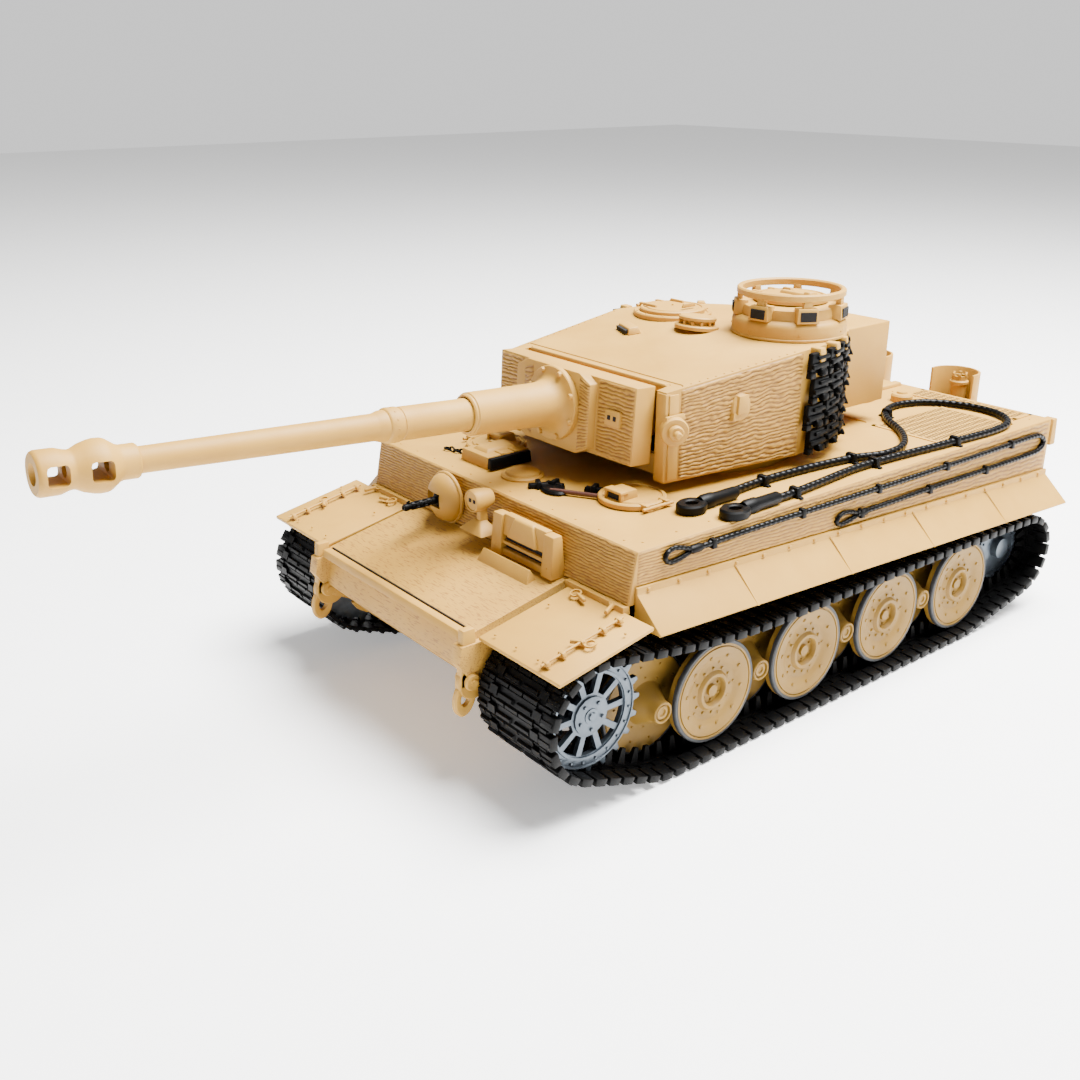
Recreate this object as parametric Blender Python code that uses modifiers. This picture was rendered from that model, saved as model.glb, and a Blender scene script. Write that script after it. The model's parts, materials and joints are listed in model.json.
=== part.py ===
"""Radio-controlled heavy tank model, 1/16 scale, as separate pieces in their places.

The front faces -Y, the tank's own left side is +X, and the tracks stand on Z = 0. Sizes are in
millimetres, measured from the middle of the hull; every piece hangs from one empty, which moves
the middle of the whole length, gun included, to Y = 0.
"""
import math

import bmesh
import bpy
from mathutils import Matrix, Vector

MM = 0.001
GAP = 0.3  # between pieces that touch

# Whole length, from the muzzle to the exhaust shields.
MUZZLE_Y = -327.7
REAR_Y = 207.5

# Hull
TUB_HALF = 60.0
WALL = 2.5
BELLY_Z = 29.4
TUB_TOP_Z = 79.9
DECK_Z = 103.5
DECK_HALF = 98.8
FRONT_FOOT_Y, FRONT_TOP_Y = -131.5, -127.0
FRONT_FOOT_Z = 80.4
HULL_REAR_Y = 186.0
GLACIS_Y, GLACIS_Z = -181.8, 69.2
PANNIER_REAR_Z = 66.4
SIDE_SLOPE = (PANNIER_REAR_Z - FRONT_FOOT_Z) / (HULL_REAR_Y - FRONT_FOOT_Y)

# Hull fittings
BOW_BACK = (-30.8, -131.9, 91.9)  # foot of the bow gun's shield
BOW_BALL = (-30.8, -135.0, 91.9)
CREW_HATCH_X, CREW_HATCH_Y = 51.4, -86.7
EXHAUST_X, EXHAUST_Y = 31.0, 198.5
SHIELD_OUT_R, SHIELD_IN_R = 14.5, 13.1

# Running gear
TRACK_IN, TRACK_OUT = 65.5, 110.9
TRACK_THICK = 4.2
WHEEL_R = 24.6
AXLE_Z = 29.3
FIRST_AXLE_Y = -116.9
AXLE_PITCH = 31.0
AXLES = 8
SPROCKET_Y, SPROCKET_Z = -157.5, 42.5
SPROCKET_BELT_R = 28.2  # outside of the track round the sprocket
TEETH = 20
TOOTH_TIP_R, TOOTH_ROOT_R = 27.2, 23.2
RING_X = (103.2, 75.2)  # inner face of each toothed ring
RING_THICK = 2.5
IDLER_Y, IDLER_Z = 153.5, 34.0
IDLER_R = 18.7
STUB_R = 3.0
BORE_R = 3.5
ROUND_STEPS = 16

# Turret
TURRET_FLOOR_Z, ROOF_Z = 109.5, 161.0
ROOF_FRONT_Y, ROOF_FRONT_Z = -66.0, 152.6
CHEEK_Y = -72.5
CHEEK_IN = 50.2
TURRET_FRONT_HALF, TURRET_HALF = 56.5, 66.0
BEND_Y, TURRET_REAR_Y = 8.0, 78.0
RING_R, RING_HOLE_R = 55.5, 57.0
CUPOLA_X, CUPOLA_Y = 32.0, 36.0
LOADER_X, LOADER_Y = -37.0, 22.0

# Gun, measured forward from the trunnion along the bore
TRUNNION_Y, TRUNNION_Z = -62.0, 137.0
REST_ELEVATION = math.radians(3.4)
SLEEVE_FROM, SLEEVE_TO = 28.3, 80.0
SEAM = 228.5
BORE_BACK = 4.0
MUZZLE_R = 8.6
MUZZLE = (TRUNNION_Y - MUZZLE_Y - MUZZLE_R * math.sin(REST_ELEVATION)) / math.cos(REST_ELEVATION)

# Cables
TOW_R = 1.9
SIDE_R = 1.1

SAND = ("d9b68a", 0.55, 0.0)
WHEEL_SAND = ("c9a970", 0.5, 0.0)
BLACK = ("17181a", 0.4, 0.0)
STEEL_GREY = ("9ba4ad", 0.35, 1.0)
GREEN_BOARD = ("2f5a3a", 0.5, 0.0)


def linear(channel):
    """One sRGB channel, 0 to 1, as linear light."""
    return channel / 12.92 if channel <= 0.04045 else ((channel + 0.055) / 1.055) ** 2.4


def finish(obj, look):
    """Gives the object a material of its own."""
    colour, roughness, metallic = look
    rgb = [linear(int(colour[i : i + 2], 16) / 255) for i in (0, 2, 4)]
    material = bpy.data.materials.new(obj.name)
    material.use_nodes = True
    shader = material.node_tree.nodes["Principled BSDF"]
    shader.inputs["Base Color"].default_value = (*rgb, 1)
    shader.inputs["Roughness"].default_value = roughness
    shader.inputs["Metallic"].default_value = metallic
    obj.data.materials.clear()
    obj.data.materials.append(material)


def clean(mesh, turn_out=True):
    """Welds a mesh's loose caps, turns its faces outwards and shades it by angle."""
    bm = bmesh.new()
    bm.from_mesh(mesh)
    bmesh.ops.remove_doubles(bm, verts=bm.verts, dist=1e-6)
    if turn_out:
        bmesh.ops.recalc_face_normals(bm, faces=bm.faces)
    bm.to_mesh(mesh)
    bm.free()
    mesh.shade_smooth()
    mesh.set_sharp_from_angle(angle=math.radians(35))


def baked(obj, turn_out=True):
    """The object's evaluated shape as a mesh object. A hollowed one keeps its inner faces as they are."""
    graph = bpy.context.evaluated_depsgraph_get()
    graph.update()
    mesh = bpy.data.meshes.new_from_object(obj.evaluated_get(graph), depsgraph=graph)
    name = obj.name
    old = obj.data
    bpy.data.objects.remove(obj)
    (bpy.data.curves if isinstance(old, bpy.types.Curve) else bpy.data.meshes).remove(old)
    clean(mesh, turn_out)
    mesh.name = name
    solid = bpy.data.objects.new(name, mesh)
    SHAPES.objects.link(solid)
    return solid


# Plane of a flat outline: the columns are the directions of its first axis, second axis and thickness.
ACROSS_X = Matrix(((0, 0, 1), (1, 0, 0), (0, 1, 0)))  # outline in (y, z), thick along X
ACROSS_Y = Matrix(((1, 0, 0), (0, 0, -1), (0, 1, 0)))  # outline in (x, z), thick along -Y
ACROSS_Z = Matrix.Identity(3)  # outline in (x, y), thick along Z


def plate(name, outlines, low, high, plane=ACROSS_X):
    """A flat outline, with any holes after it, made as thick as from low to high."""
    curve = bpy.data.curves.new(name, "CURVE")
    curve.dimensions = "2D"
    curve.fill_mode = "BOTH"
    curve.extrude = (high - low) / 2 * MM
    for outline in outlines:
        spline = curve.splines.new("POLY")
        spline.points.add(len(outline) - 1)
        for point, (u, v) in zip(spline.points, outline):
            point.co = (u * MM, v * MM, 0, 1)
        spline.use_cyclic_u = True
    obj = bpy.data.objects.new(name, curve)
    SHAPES.objects.link(obj)
    solid = baked(obj)
    solid.data.transform(plane.to_4x4() @ Matrix.Translation((0, 0, (low + high) / 2 * MM)))
    return solid


def box(name, x, y, z):
    """A block between two corners; the two ends of x may come in either order."""
    mesh = bpy.data.meshes.new(name)
    bm = bmesh.new()
    bmesh.ops.create_cube(bm, size=1)
    for vertex in bm.verts:
        vertex.co = [(a + (b - a) * (c + 0.5)) * MM for (a, b), c in zip((x, y, z), vertex.co)]
    bm.to_mesh(mesh)
    bm.free()
    clean(mesh)
    obj = bpy.data.objects.new(name, mesh)
    SHAPES.objects.link(obj)
    return obj


def turned(name, profile, centre, axis="X", steps=ROUND_STEPS):
    """A turned piece. The profile holds (radius, place along the axis), and may close on itself."""
    mesh = bpy.data.meshes.new(name)
    on_axis = profile[0][0] == 0 and profile[-1][0] == 0
    count = len(profile)
    edges = [(i, (i + 1) % count) for i in range(count - 1 if on_axis else count)]
    mesh.from_pydata([(r * MM, 0, h * MM) for r, h in profile], edges, [])
    obj = bpy.data.objects.new(name, mesh)
    SHAPES.objects.link(obj)
    screw = obj.modifiers.new("turn", "SCREW")
    screw.steps = screw.render_steps = steps
    screw.use_merge_vertices = True
    screw.merge_threshold = 0.00001
    solid = baked(obj)
    turn = {"X": ACROSS_X, "Y": Matrix(((0, 1, 0), (0, 0, -1), (-1, 0, 0))), "Z": ACROSS_Z}[axis]
    solid.data.transform(Matrix.Translation(Vector(centre) * MM) @ turn.to_4x4())
    clean(solid.data)
    return solid


def change(obj, tool, operation):
    """Cuts the tool from the object, or joins it on, and bakes the result."""
    modifier = obj.modifiers.new(operation, "BOOLEAN")
    modifier.operation = operation
    modifier.object = tool
    result = baked(obj, turn_out=False)
    tool_mesh = tool.data
    bpy.data.objects.remove(tool)
    bpy.data.meshes.remove(tool_mesh)
    return result


def cut(obj, *tools):
    for tool in tools:
        obj = change(obj, tool, "DIFFERENCE")
    return obj


def join(obj, *tools):
    for tool in tools:
        obj = change(obj, tool, "UNION")
    return obj


def slant(obj, slope, along, start):
    """Lifts each point by slope times its distance past start along Y, or pushes Y by its height."""
    for vertex in obj.data.vertices:
        if along == "Y":
            vertex.co.z += slope * (vertex.co.y - start * MM)
        else:
            vertex.co.y += slope * (vertex.co.z - start * MM)
    return obj


def place(obj, look, parent=None, pivot=(0, 0, 0)):
    """Puts a finished piece in the tank's collection, its origin on its pivot."""
    origin = Vector(pivot) * MM
    obj.data.transform(Matrix.Translation(-origin))
    obj.location = origin
    obj.parent = parent or DATUM
    SHAPES.objects.unlink(obj)
    TANK.objects.link(obj)
    finish(obj, look)
    return obj


def empty(name, location, parent=None, turn_x=0.0):
    obj = bpy.data.objects.new(name, None)
    obj.location = Vector(location) * MM
    obj.rotation_euler.x = turn_x
    obj.parent = parent
    TANK.objects.link(obj)
    return obj


def arc(centre, radius, start, end, points):
    """Points of an arc, from one angle in degrees to the other."""
    angles = [math.radians(start + (end - start) * i / (points - 1)) for i in range(points)]
    return [(centre[0] + radius * math.cos(a), centre[1] + radius * math.sin(a)) for a in angles]


def circle(centre, radius, points=ROUND_STEPS):
    return arc(centre, radius, 0, 360 * (points - 1) / points, points)


for leftover in list(bpy.data.objects):
    bpy.data.objects.remove(leftover)
TANK = bpy.data.collections.new("rc_heavy_tank")
SHAPES = bpy.data.collections.new("shapes_in_work")
for collection in (TANK, SHAPES):
    bpy.context.scene.collection.children.link(collection)
DATUM = empty("hull_datum", (0, -(MUZZLE_Y + REAR_Y) / 2, 0))
SIDES = (("left", 1), ("right", -1))


# Hull ---------------------------------------------------------------------------------------
def lower_hull():
    """The tub: belly, sides, nose and glacis, open above for the electronics."""
    glacis_slope = (TUB_TOP_Z - GAP - GLACIS_Z) / (FRONT_FOOT_Y - GAP - GLACIS_Y)

    def side(inset):
        """The tub's side view, drawn in by the wall's thickness for its inside."""
        top = TUB_TOP_Z + (5 if inset else 0)
        crest_y = FRONT_FOOT_Y - GAP + inset
        return [
            (GLACIS_Y + inset, GLACIS_Z - inset * (1 - glacis_slope)),
            (-185.5 + inset, 52),
            (-163 + inset * 0.6, BELLY_Z + inset),
            (HULL_REAR_Y - 22 - inset * 0.6, BELLY_Z + inset),
            (HULL_REAR_Y - inset, 52),
            (HULL_REAR_Y - inset, top),
            (crest_y, top),
            (crest_y, TUB_TOP_Z - GAP - inset),
        ]

    hull = plate("lower_hull", [side(0)], -TUB_HALF, TUB_HALF)
    hull = cut(hull, plate("room", [side(WALL)], WALL - TUB_HALF, TUB_HALF - WALL))
    hull = cut(hull, box("switch_slot", (-33, -27), (57, 69.4), (20, 40)))
    lug = [(-165, 66), (-190, 66), (-191.5, 58), (-183, 45), (-165, 36)]
    for _, s in SIDES:
        ends = sorted((s * (TUB_HALF - 3), s * (TUB_HALF + 3.2)))
        hull = join(hull, plate("lug", [lug], *ends))
    place(hull, SAND)


def upper_hull():
    """Superstructure and panniers, open below, with holes for the turret and the two crew hatches."""
    side = [
        (FRONT_FOOT_Y, FRONT_FOOT_Z),
        (FRONT_TOP_Y, DECK_Z),
        (HULL_REAR_Y, DECK_Z),
        (HULL_REAR_Y, PANNIER_REAR_Z),
    ]
    room = [
        (FRONT_FOOT_Y + WALL, FRONT_FOOT_Z + WALL),
        (FRONT_TOP_Y + WALL, DECK_Z - WALL),
        (HULL_REAR_Y - WALL, DECK_Z - WALL),
        (HULL_REAR_Y - WALL, PANNIER_REAR_Z + WALL),
    ]
    half = DECK_HALF - WALL
    hull = plate("upper_hull", [side], -DECK_HALF, DECK_HALF)
    hull = cut(hull, plate("room", [room], -half, half))
    mouth = TUB_HALF + GAP
    hull = cut(hull, box("mouth", (-mouth, mouth), (-128.5, HULL_REAR_Y + 5), (60, 90)))
    holes = [((0, 0), RING_HOLE_R, 32)]
    holes += [((s * 51.4, -86.7), 12.5, ROUND_STEPS) for _, s in SIDES]
    for centre, radius, points in holes:
        tool = plate("hole", [circle(centre, radius, points)], DECK_Z - 9, DECK_Z + 9, ACROSS_Z)
        hull = cut(hull, tool)
    place(hull, SAND)


def rear_plate():
    outline = [(-58, 38), (58, 38), (58, 72), (96, 72), (96, 100), (-96, 100), (-96, 72), (-58, 72)]
    rear = plate("rear_plate", [outline], -HULL_REAR_Y - 3.6, -HULL_REAR_Y - GAP, ACROSS_Y)
    place(rear, SAND)


def skirt(word, s):
    """A flared side skirt: an upright flange on the hull side, a sloping sheet and an end gusset."""
    top, foot = FRONT_FOOT_Z + 8, 71.6
    inner = DECK_HALF + GAP
    sheet = [
        (inner, top),
        (inner + 1.4, top),
        (inner + 1.4, top - 3),
        (115.2, foot + 0.8),
        (114.2, foot - 0.2),
        (inner, top - 4.6),
    ]
    gusset = [(inner, top - 3.5), (114.6, foot + 0.3), (inner, foot - 1)]
    obj = plate("skirt_" + word, [[(s * x, z) for x, z in sheet]], -HULL_REAR_Y, 128.3, ACROSS_Y)
    obj = join(obj, plate("end", [[(s * x, z) for x, z in gusset]], 126.8, 128.3, ACROSS_Y))
    place(slant(obj, SIDE_SLOPE, "Y", -128.3), SAND)


def front_fender(word, s):
    side = [(-181.8, 68.8), (-133.2, 78.4), (-133.2, 76.8), (-181.8, 67.2)]
    ends = sorted((s * (TUB_HALF + 3.5), s * 116.0))
    place(plate("front_fender_" + word, [side], *ends), SAND)


def driver_visor():
    """The armoured frame of the driver's view slit, sloped like the front plate it stands on."""
    frame = [(13, 81), (57.4, 81), (57.4, 97), (50, 97), (50, 99), (20, 99), (20, 97), (13, 97)]
    slit = [(20, 85.5), (20, 88.5), (50, 88.5), (50, 85.5)]
    obj = plate("driver_visor", [frame, slit], 131.9, 138.5, ACROSS_Y)
    lean = (FRONT_TOP_Y - FRONT_FOOT_Y) / (DECK_Z - FRONT_FOOT_Z)
    place(slant(obj, lean, "Z", FRONT_FOOT_Z), SAND)


def bow_shield():
    """The domed shield of the bow machine gun, bored through for the gun's ball."""
    profile = [(5.2, 0), (5.2, 7), (7.4, 6.8), (10.6, 4.4), (11.6, 1.8), (11.6, 0)]
    shield = turned("bow_shield", profile[::-1], BOW_BACK, "Y")
    place(shield, SAND)


def internals():
    """What the hull holds: the battery, the board, the twin gearbox and the power switch."""
    place(box("battery_pack", (-23, 23), (20, 112), (32.3, 58)), BLACK)
    place(box("control_board", (-38, 38), (-62, 8), (44, 46)), GREEN_BOARD)
    gearbox = box("drive_gearbox", (-50, 50), (-160, -112), (38, 62))
    for _, s in SIDES:
        motor = [(0, s * 44), (8, s * 44), (8, s * 4), (0, s * 4)]
        gearbox = join(gearbox, turned("motor", motor, (0, -104.5, 50), "X"))
    place(gearbox, BLACK)
    stem = box("power_switch", (-32.5, -27.5), (57.6, 63), (27.8, 35))
    thumb_plate = box("thumb_plate", (-36, -24), (53, 69), (33, 35))
    place(join(stem, thumb_plate), BLACK)


def exhaust(word, s):
    """An exhaust pipe on the rear plate, and the half-round shield round it."""
    x, y = s * EXHAUST_X, EXHAUST_Y
    pipe = [(0, 113), (3.2, 113), (3.2, 108), (4.6, 108), (4.6, 74), (0, 74)]
    stack = turned("exhaust_pipe_" + word, pipe, (x, y, 0), "Z", 12)
    foot = box("foot", (x - 4, x + 4), (HULL_REAR_Y + 3.9, y), (75, 82))
    place(join(stack, foot), SAND)
    mouth = HULL_REAR_Y + 3.9
    out, inner = SHIELD_OUT_R, SHIELD_IN_R
    middle = REAR_Y - out
    outside = [(x + out, mouth)] + arc((x, middle), out, 0, 180, 11) + [(x - out, mouth)]
    inside = [(x - inner, mouth)] + arc((x, middle), inner, 180, 0, 11) + [(x + inner, mouth)]
    place(plate("exhaust_shield_" + word, [outside + inside], 78, 116.5, ACROSS_Z), SAND)


lower_hull()
upper_hull()
rear_plate()
driver_visor()
bow_shield()
internals()
for side_name, side_sign in SIDES:
    skirt(side_name, side_sign)
    front_fender(side_name, side_sign)
    exhaust(side_name, side_sign)


# Running gear -------------------------------------------------------------------------------
def belt_outline(depth):
    """The track's side view, this deep inside its outer face, as one closed line of points."""
    wheel = WHEEL_R + 0.5 + TRACK_THICK - depth
    sprocket = SPROCKET_BELT_R - depth
    idler = IDLER_R + 0.5 + TRACK_THICK - depth
    first, last = FIRST_AXLE_Y, FIRST_AXLE_Y + (AXLES - 1) * AXLE_PITCH
    # The lower run climbs to the sprocket and to the idler on tangents of the end wheels.
    front_rise = 180 + tangent((first, AXLE_Z), wheel, (SPROCKET_Y, SPROCKET_Z), sprocket)
    rear_rise = -tangent((-last, AXLE_Z), wheel, (-IDLER_Y, IDLER_Z), idler)
    points = arc((first, AXLE_Z), wheel, 270, 90 + front_rise, 4)
    points += arc((SPROCKET_Y, SPROCKET_Z), sprocket, 90 + front_rise, 80, 13)
    # The upper run sags from the sprocket until it lies on the wheels.
    start = points[-1]
    end = (FIRST_AXLE_Y + 2 * AXLE_PITCH, AXLE_Z + wheel)
    slope = -math.tan(math.radians(10))
    length = end[0] - start[0]
    for i in range(1, 6):
        t = i / 6
        hold = 1 - t
        sag = start[1] * hold**2 * (1 + 2 * t) + end[1] * t**2 * (3 - 2 * t)
        points.append((start[0] + length * t, sag + slope * length * t * hold**2))
    points.append(end)
    points += [(last, AXLE_Z + wheel)]
    points += arc((IDLER_Y, IDLER_Z), idler, 88, -90 + rear_rise, 11)
    points += arc((last, AXLE_Z), wheel, -90 + rear_rise, -90, 4)
    return points


def tangent(near, near_r, far, far_r):
    """Degrees that the lower tangent line from one circle to the next, further along -Y, climbs."""
    run, rise = near[0] - far[0], far[1] - near[1]
    lift = math.asin((far_r - near_r) / math.hypot(run, rise))
    return -math.degrees(math.atan2(rise, run) - lift)


def track(word, s):
    """The track belt, with two grooves inside it that the sprocket's teeth run in."""
    ends = sorted((s * TRACK_IN, s * TRACK_OUT))
    belt = plate("track_" + word, [belt_outline(0), belt_outline(TRACK_THICK)], *ends)
    for ring in RING_X:
        near, far = sorted((s * (ring - 0.6), s * (ring + RING_THICK + 0.6)))
        groove = [belt_outline(0.5), belt_outline(TRACK_THICK + 1.5)]
        belt = cut(belt, plate("groove", groove, near, far))
    place(belt, BLACK)


def suspension(word, s):
    """The rail on the tub's side, with the stub axles of the road wheels and of the idler."""
    rail = [(-128, 25), (164, 25), (164, 40), (-128, 40)]
    ends = sorted((s * (TUB_HALF + GAP), s * (TUB_HALF + 3)))
    bed = plate("suspension_" + word, [rail], *ends)
    for axle in range(AXLES):
        tip = 102.5 if axle % 2 == 0 else 105.0
        stub = [(0, s * (TUB_HALF + 1)), (STUB_R, s * (TUB_HALF + 1)), (STUB_R, s * tip), (0, s * tip)]
        centre = (0, FIRST_AXLE_Y + axle * AXLE_PITCH, AXLE_Z)
        bed = join(bed, turned("stub", stub, centre, "X", 10))
    stub = [(0, s * (TUB_HALF + 1)), (STUB_R, s * (TUB_HALF + 1)), (STUB_R, s * 96), (0, s * 96)]
    place(join(bed, turned("stub", stub, (0, IDLER_Y, IDLER_Z), "X", 10)), SAND)


def road_wheel(word, s, axle):
    """A double wheel. Odd pairs run inside, and carry a long cone as a hub cap."""
    if axle % 2:
        profile = [
            (0, 109), (6, 109), (6, 106.6), (21.5, 106.6), (21.5, 108), (WHEEL_R, 108),
            (WHEEL_R, 103), (5.5, 103), (5.5, 85.5), (WHEEL_R, 85.5), (WHEEL_R, 80.5), (BORE_R, 80.5),
            (BORE_R, 106), (0, 106),
        ]  # fmt: skip
    else:
        profile = [
            (0, 107.4), (5.2, 107.4), (5.6, 103), (9.5, 96), (WHEEL_R, 96), (WHEEL_R, 91), (5.5, 91),
            (5.5, 73.5), (WHEEL_R, 73.5), (WHEEL_R, 68.5), (BORE_R, 68.5), (BORE_R, 103.5), (0, 103.5),
        ]  # fmt: skip
    centre = (0, FIRST_AXLE_Y + axle * AXLE_PITCH, AXLE_Z)
    wheel = turned(f"road_wheel_{word}_{axle + 1}", [(r, s * x) for r, x in profile], centre)
    place(wheel, WHEEL_SAND, pivot=centre)


def sprocket(word, s):
    """The drive sprocket: two toothed rings with spokes, on one drum."""
    centre = (0, SPROCKET_Y, SPROCKET_Z)
    pitch = 360 / TEETH
    rim = []
    for tooth in range(TEETH):
        for offset in (-0.28, -0.1, 0.1, 0.28):
            radius = TOOTH_TIP_R if abs(offset) == 0.1 else TOOTH_ROOT_R
            angle = math.radians((tooth + offset) * pitch)
            rim.append((SPROCKET_Y + radius * math.cos(angle), SPROCKET_Z + radius * math.sin(angle)))
    windows = []
    spokes = 10
    for spoke in range(spokes):
        start, end = (spoke * 36 + 4.5, spoke * 36 + 31.5)
        outer = arc((SPROCKET_Y, SPROCKET_Z), 18.2, start, end, 4)
        inner = arc((SPROCKET_Y, SPROCKET_Z), 9.8, end - 3, start + 3, 2)
        windows.append(outer + inner)
    hub = [(0, 104), (BORE_R + 1, 104), (BORE_R + 1, 66.2), (8.6, 66.2), (8.6, 106.8), (0, 106.8)]
    wheel = turned("sprocket_" + word, [(r, s * x) for r, x in hub], centre)
    middle_hole = circle((SPROCKET_Y, SPROCKET_Z), 7)
    for face, ring in enumerate(RING_X):
        ends = sorted((s * ring, s * (ring + RING_THICK)))
        holes = [middle_hole] + (windows if face == 0 else [])
        wheel = join(wheel, plate("ring", [rim] + holes, *ends))
    place(wheel, STEEL_GREY, pivot=centre)


def final_drive(word, s):
    """The drive housing on the tub's side and the shaft that the sprocket turns on."""
    shaft = BORE_R + 0.5
    profile = [(0, 60.3), (15, 60.3), (15, 62.5), (11, 65), (shaft, 65), (shaft, 103), (0, 103)]
    centre = (0, SPROCKET_Y, SPROCKET_Z)
    housing = turned("final_drive_" + word, [(r, s * x) for r, x in profile], centre)
    lug_room = [(-195, 36), (-195, 70), (-163.5, 70), (-163.5, 36)]
    ends = sorted((s * 60, s * (TUB_HALF + 3.6)))
    place(cut(housing, plate("lug_room", [lug_room], *ends)), SAND)


def idler(word, s):
    profile = [
        (0, 99.5), (6, 99.5), (6, 95.5), (IDLER_R, 95.5), (IDLER_R, 92), (6, 92), (6, 80.5),
        (IDLER_R, 80.5), (IDLER_R, 77), (BORE_R, 77), (BORE_R, 97), (0, 97),
    ]  # fmt: skip
    centre = (0, IDLER_Y, IDLER_Z)
    place(turned("idler_" + word, [(r, s * x) for r, x in profile], centre), STEEL_GREY, pivot=centre)


for side_name, side_sign in SIDES:
    track(side_name, side_sign)
    suspension(side_name, side_sign)
    final_drive(side_name, side_sign)
    sprocket(side_name, side_sign)
    idler(side_name, side_sign)
    for number in range(AXLES):
        road_wheel(side_name, side_sign, number)


# Turret -------------------------------------------------------------------------------------
def horseshoe(grow, notch=True):
    """The turret's plan, grown outwards: narrow front, widening sides and a round rear."""
    depth = TURRET_REAR_Y - BEND_Y + grow
    rear = [
        ((TURRET_HALF + grow) * math.cos(math.radians(a)), BEND_Y + depth * math.sin(math.radians(a)))
        for a in range(0, 181, 15)
    ]
    front = CHEEK_Y if notch else ROOF_FRONT_Y - grow
    points = [(TURRET_FRONT_HALF + grow, front)] + rear + [(-TURRET_FRONT_HALF - grow, front)]
    if notch:
        points += [(-CHEEK_IN, CHEEK_Y), (-CHEEK_IN, ROOF_FRONT_Y)]
        points += [(CHEEK_IN, ROOF_FRONT_Y), (CHEEK_IN, CHEEK_Y)]
    return points


def roof_slope(lift):
    """Side view of the air above the front half of the roof, as a tool; lift moves it up."""
    return [
        (BEND_Y, ROOF_Z + lift),
        (CHEEK_Y - 9, ROOF_FRONT_Z - 1.8 + lift),
        (CHEEK_Y - 9, ROOF_Z + 20),
        (BEND_Y, ROOF_Z + 20),
    ]


def turret_shell():
    shell = plate("turret_shell", [horseshoe(0)], TURRET_FLOOR_Z, ROOF_Z, ACROSS_Z)
    shell = cut(shell, plate("slope", [roof_slope(0)], -90, 90))
    room = plate("room", [horseshoe(-3, False)], TURRET_FLOOR_Z + 2, ROOF_Z - WALL, ACROSS_Z)
    room = cut(room, plate("slope", [roof_slope(-WALL)], -90, 90))
    shell = cut(shell, room)
    shell = cut(shell, box("gun_port", (-44, 44), (-70, -55), (119, 149)))
    collar = circle((0, 0), RING_R, 28)
    bore = circle((0, 0), RING_R - 5, 28)
    shell = join(shell, plate("ring", [collar], DECK_Z - 6, TURRET_FLOOR_Z + 1, ACROSS_Z))
    shell = cut(shell, plate("bore", [bore], DECK_Z - 9, TURRET_FLOOR_Z + 5, ACROSS_Z))
    rim = circle((LOADER_X, LOADER_Y), 20.5, 20)
    shell = join(shell, plate("hatch_rim", [rim], ROOF_Z - 1, ROOF_Z + 1.6, ACROSS_Z))
    for x, y, radius in ((CUPOLA_X, CUPOLA_Y, 17.0), (LOADER_X, LOADER_Y, 14.0)):
        hole = circle((x, y), radius, ROUND_STEPS)
        shell = cut(shell, plate("hole", [hole], ROOF_Z - 9, ROOF_Z + 9, ACROSS_Z))
    place(shell, SAND, TURRET)


def cupola():
    """The commander's cupola: a drum with a rail round its top on four posts."""
    low = ROOF_Z + GAP
    drum = [(17, low), (17, low + 15.7), (24, low + 15.7), (26.5, low + 8), (28.5, low)]
    body = turned("cupola", drum[::-1], (CUPOLA_X, CUPOLA_Y, 0), "Z", 20)
    rail_z = low + 20
    rail = [(24.2, rail_z), (24.2, rail_z + 2.4), (26.6, rail_z + 2.4), (26.6, rail_z)]
    hoop = turned("rail", rail[::-1], (CUPOLA_X, CUPOLA_Y, 0), "Z", 20)
    for quarter in range(4):
        angle = math.radians(90 * quarter + 45)
        x, y = CUPOLA_X + 25 * math.cos(angle), CUPOLA_Y + 25 * math.sin(angle)
        body = join(body, box("post", (x - 1.2, x + 1.2), (y - 1.2, y + 1.2), (low + 7, rail_z + 1)))
    place(join(body, hoop), SAND, TURRET)


def hatch_lid(name, centre, radius, low, thick, hinge, parent=None):
    """A round lid with two hinge ears, its origin on its hinge line."""
    x, y = centre
    lid = plate(name, [circle(centre, radius, 20)], low, low + thick, ACROSS_Z)
    ear = sorted((hinge[0], x + (hinge[0] - x) * 0.8))
    for offset in (-6, 6):
        lid = join(lid, box("ear", ear, (y + offset - 1.5, y + offset + 1.5), (low, low + thick)))
    place(lid, SAND, parent, hinge)


def stowage_bin():
    """The bin behind the turret, its front face hollowed to fit round it."""
    body = plate("stowage_bin", [[(-40, 50), (40, 50), (40, 110), (-40, 110)]], 115, 158.4, ACROSS_Z)
    place(cut(body, plate("turret_room", [horseshoe(0.6, False)], 100, 170, ACROSS_Z)), SAND, TURRET)


def spare_tracks(word, s):
    """The spare track links hung round the rear quarter of the turret side."""

    def curve(grow, start, end):
        depth = TURRET_REAR_Y - BEND_Y + grow
        return [
            (
                s * (TURRET_HALF + grow) * math.cos(math.radians(a)),
                BEND_Y + depth * math.sin(math.radians(a)),
            )
            for a in range(start, end, 8 if end > start else -8)
        ]

    outline = curve(0.9, 2, 53) + curve(5.2, 50, 1)
    place(plate("spare_tracks_" + word, [outline], 110.5, 157, ACROSS_Z), BLACK, TURRET)


# The gun's pieces are drawn with their bore along -Y from the trunnion, and the trunnion's empty lifts them.
def mantlet():
    """The cast gun mantlet: a wide plate, a raised middle and the cradle behind it, bored for the gun."""
    body = box("mantlet", (-49.5, 49.5), (-23, -11.4), (-20, 16))
    middle = [(-30, -17), (-22, -21), (16, -21), (24, -17), (24, 13), (16, 17), (-22, 17), (-30, 13)]
    body = join(body, plate("middle", [middle], 15, 28, ACROSS_Y))
    body = join(body, box("cradle", (-38, 38), (-13, 11), (-11, 10)))
    bore = [(0, -20), (8.4, -20), (8.4, 40), (0, 40)]
    place(cut(body, turned("bore", bore[::-1], (0, 0, 0), "Y")), SAND, TRUNNION)


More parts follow.
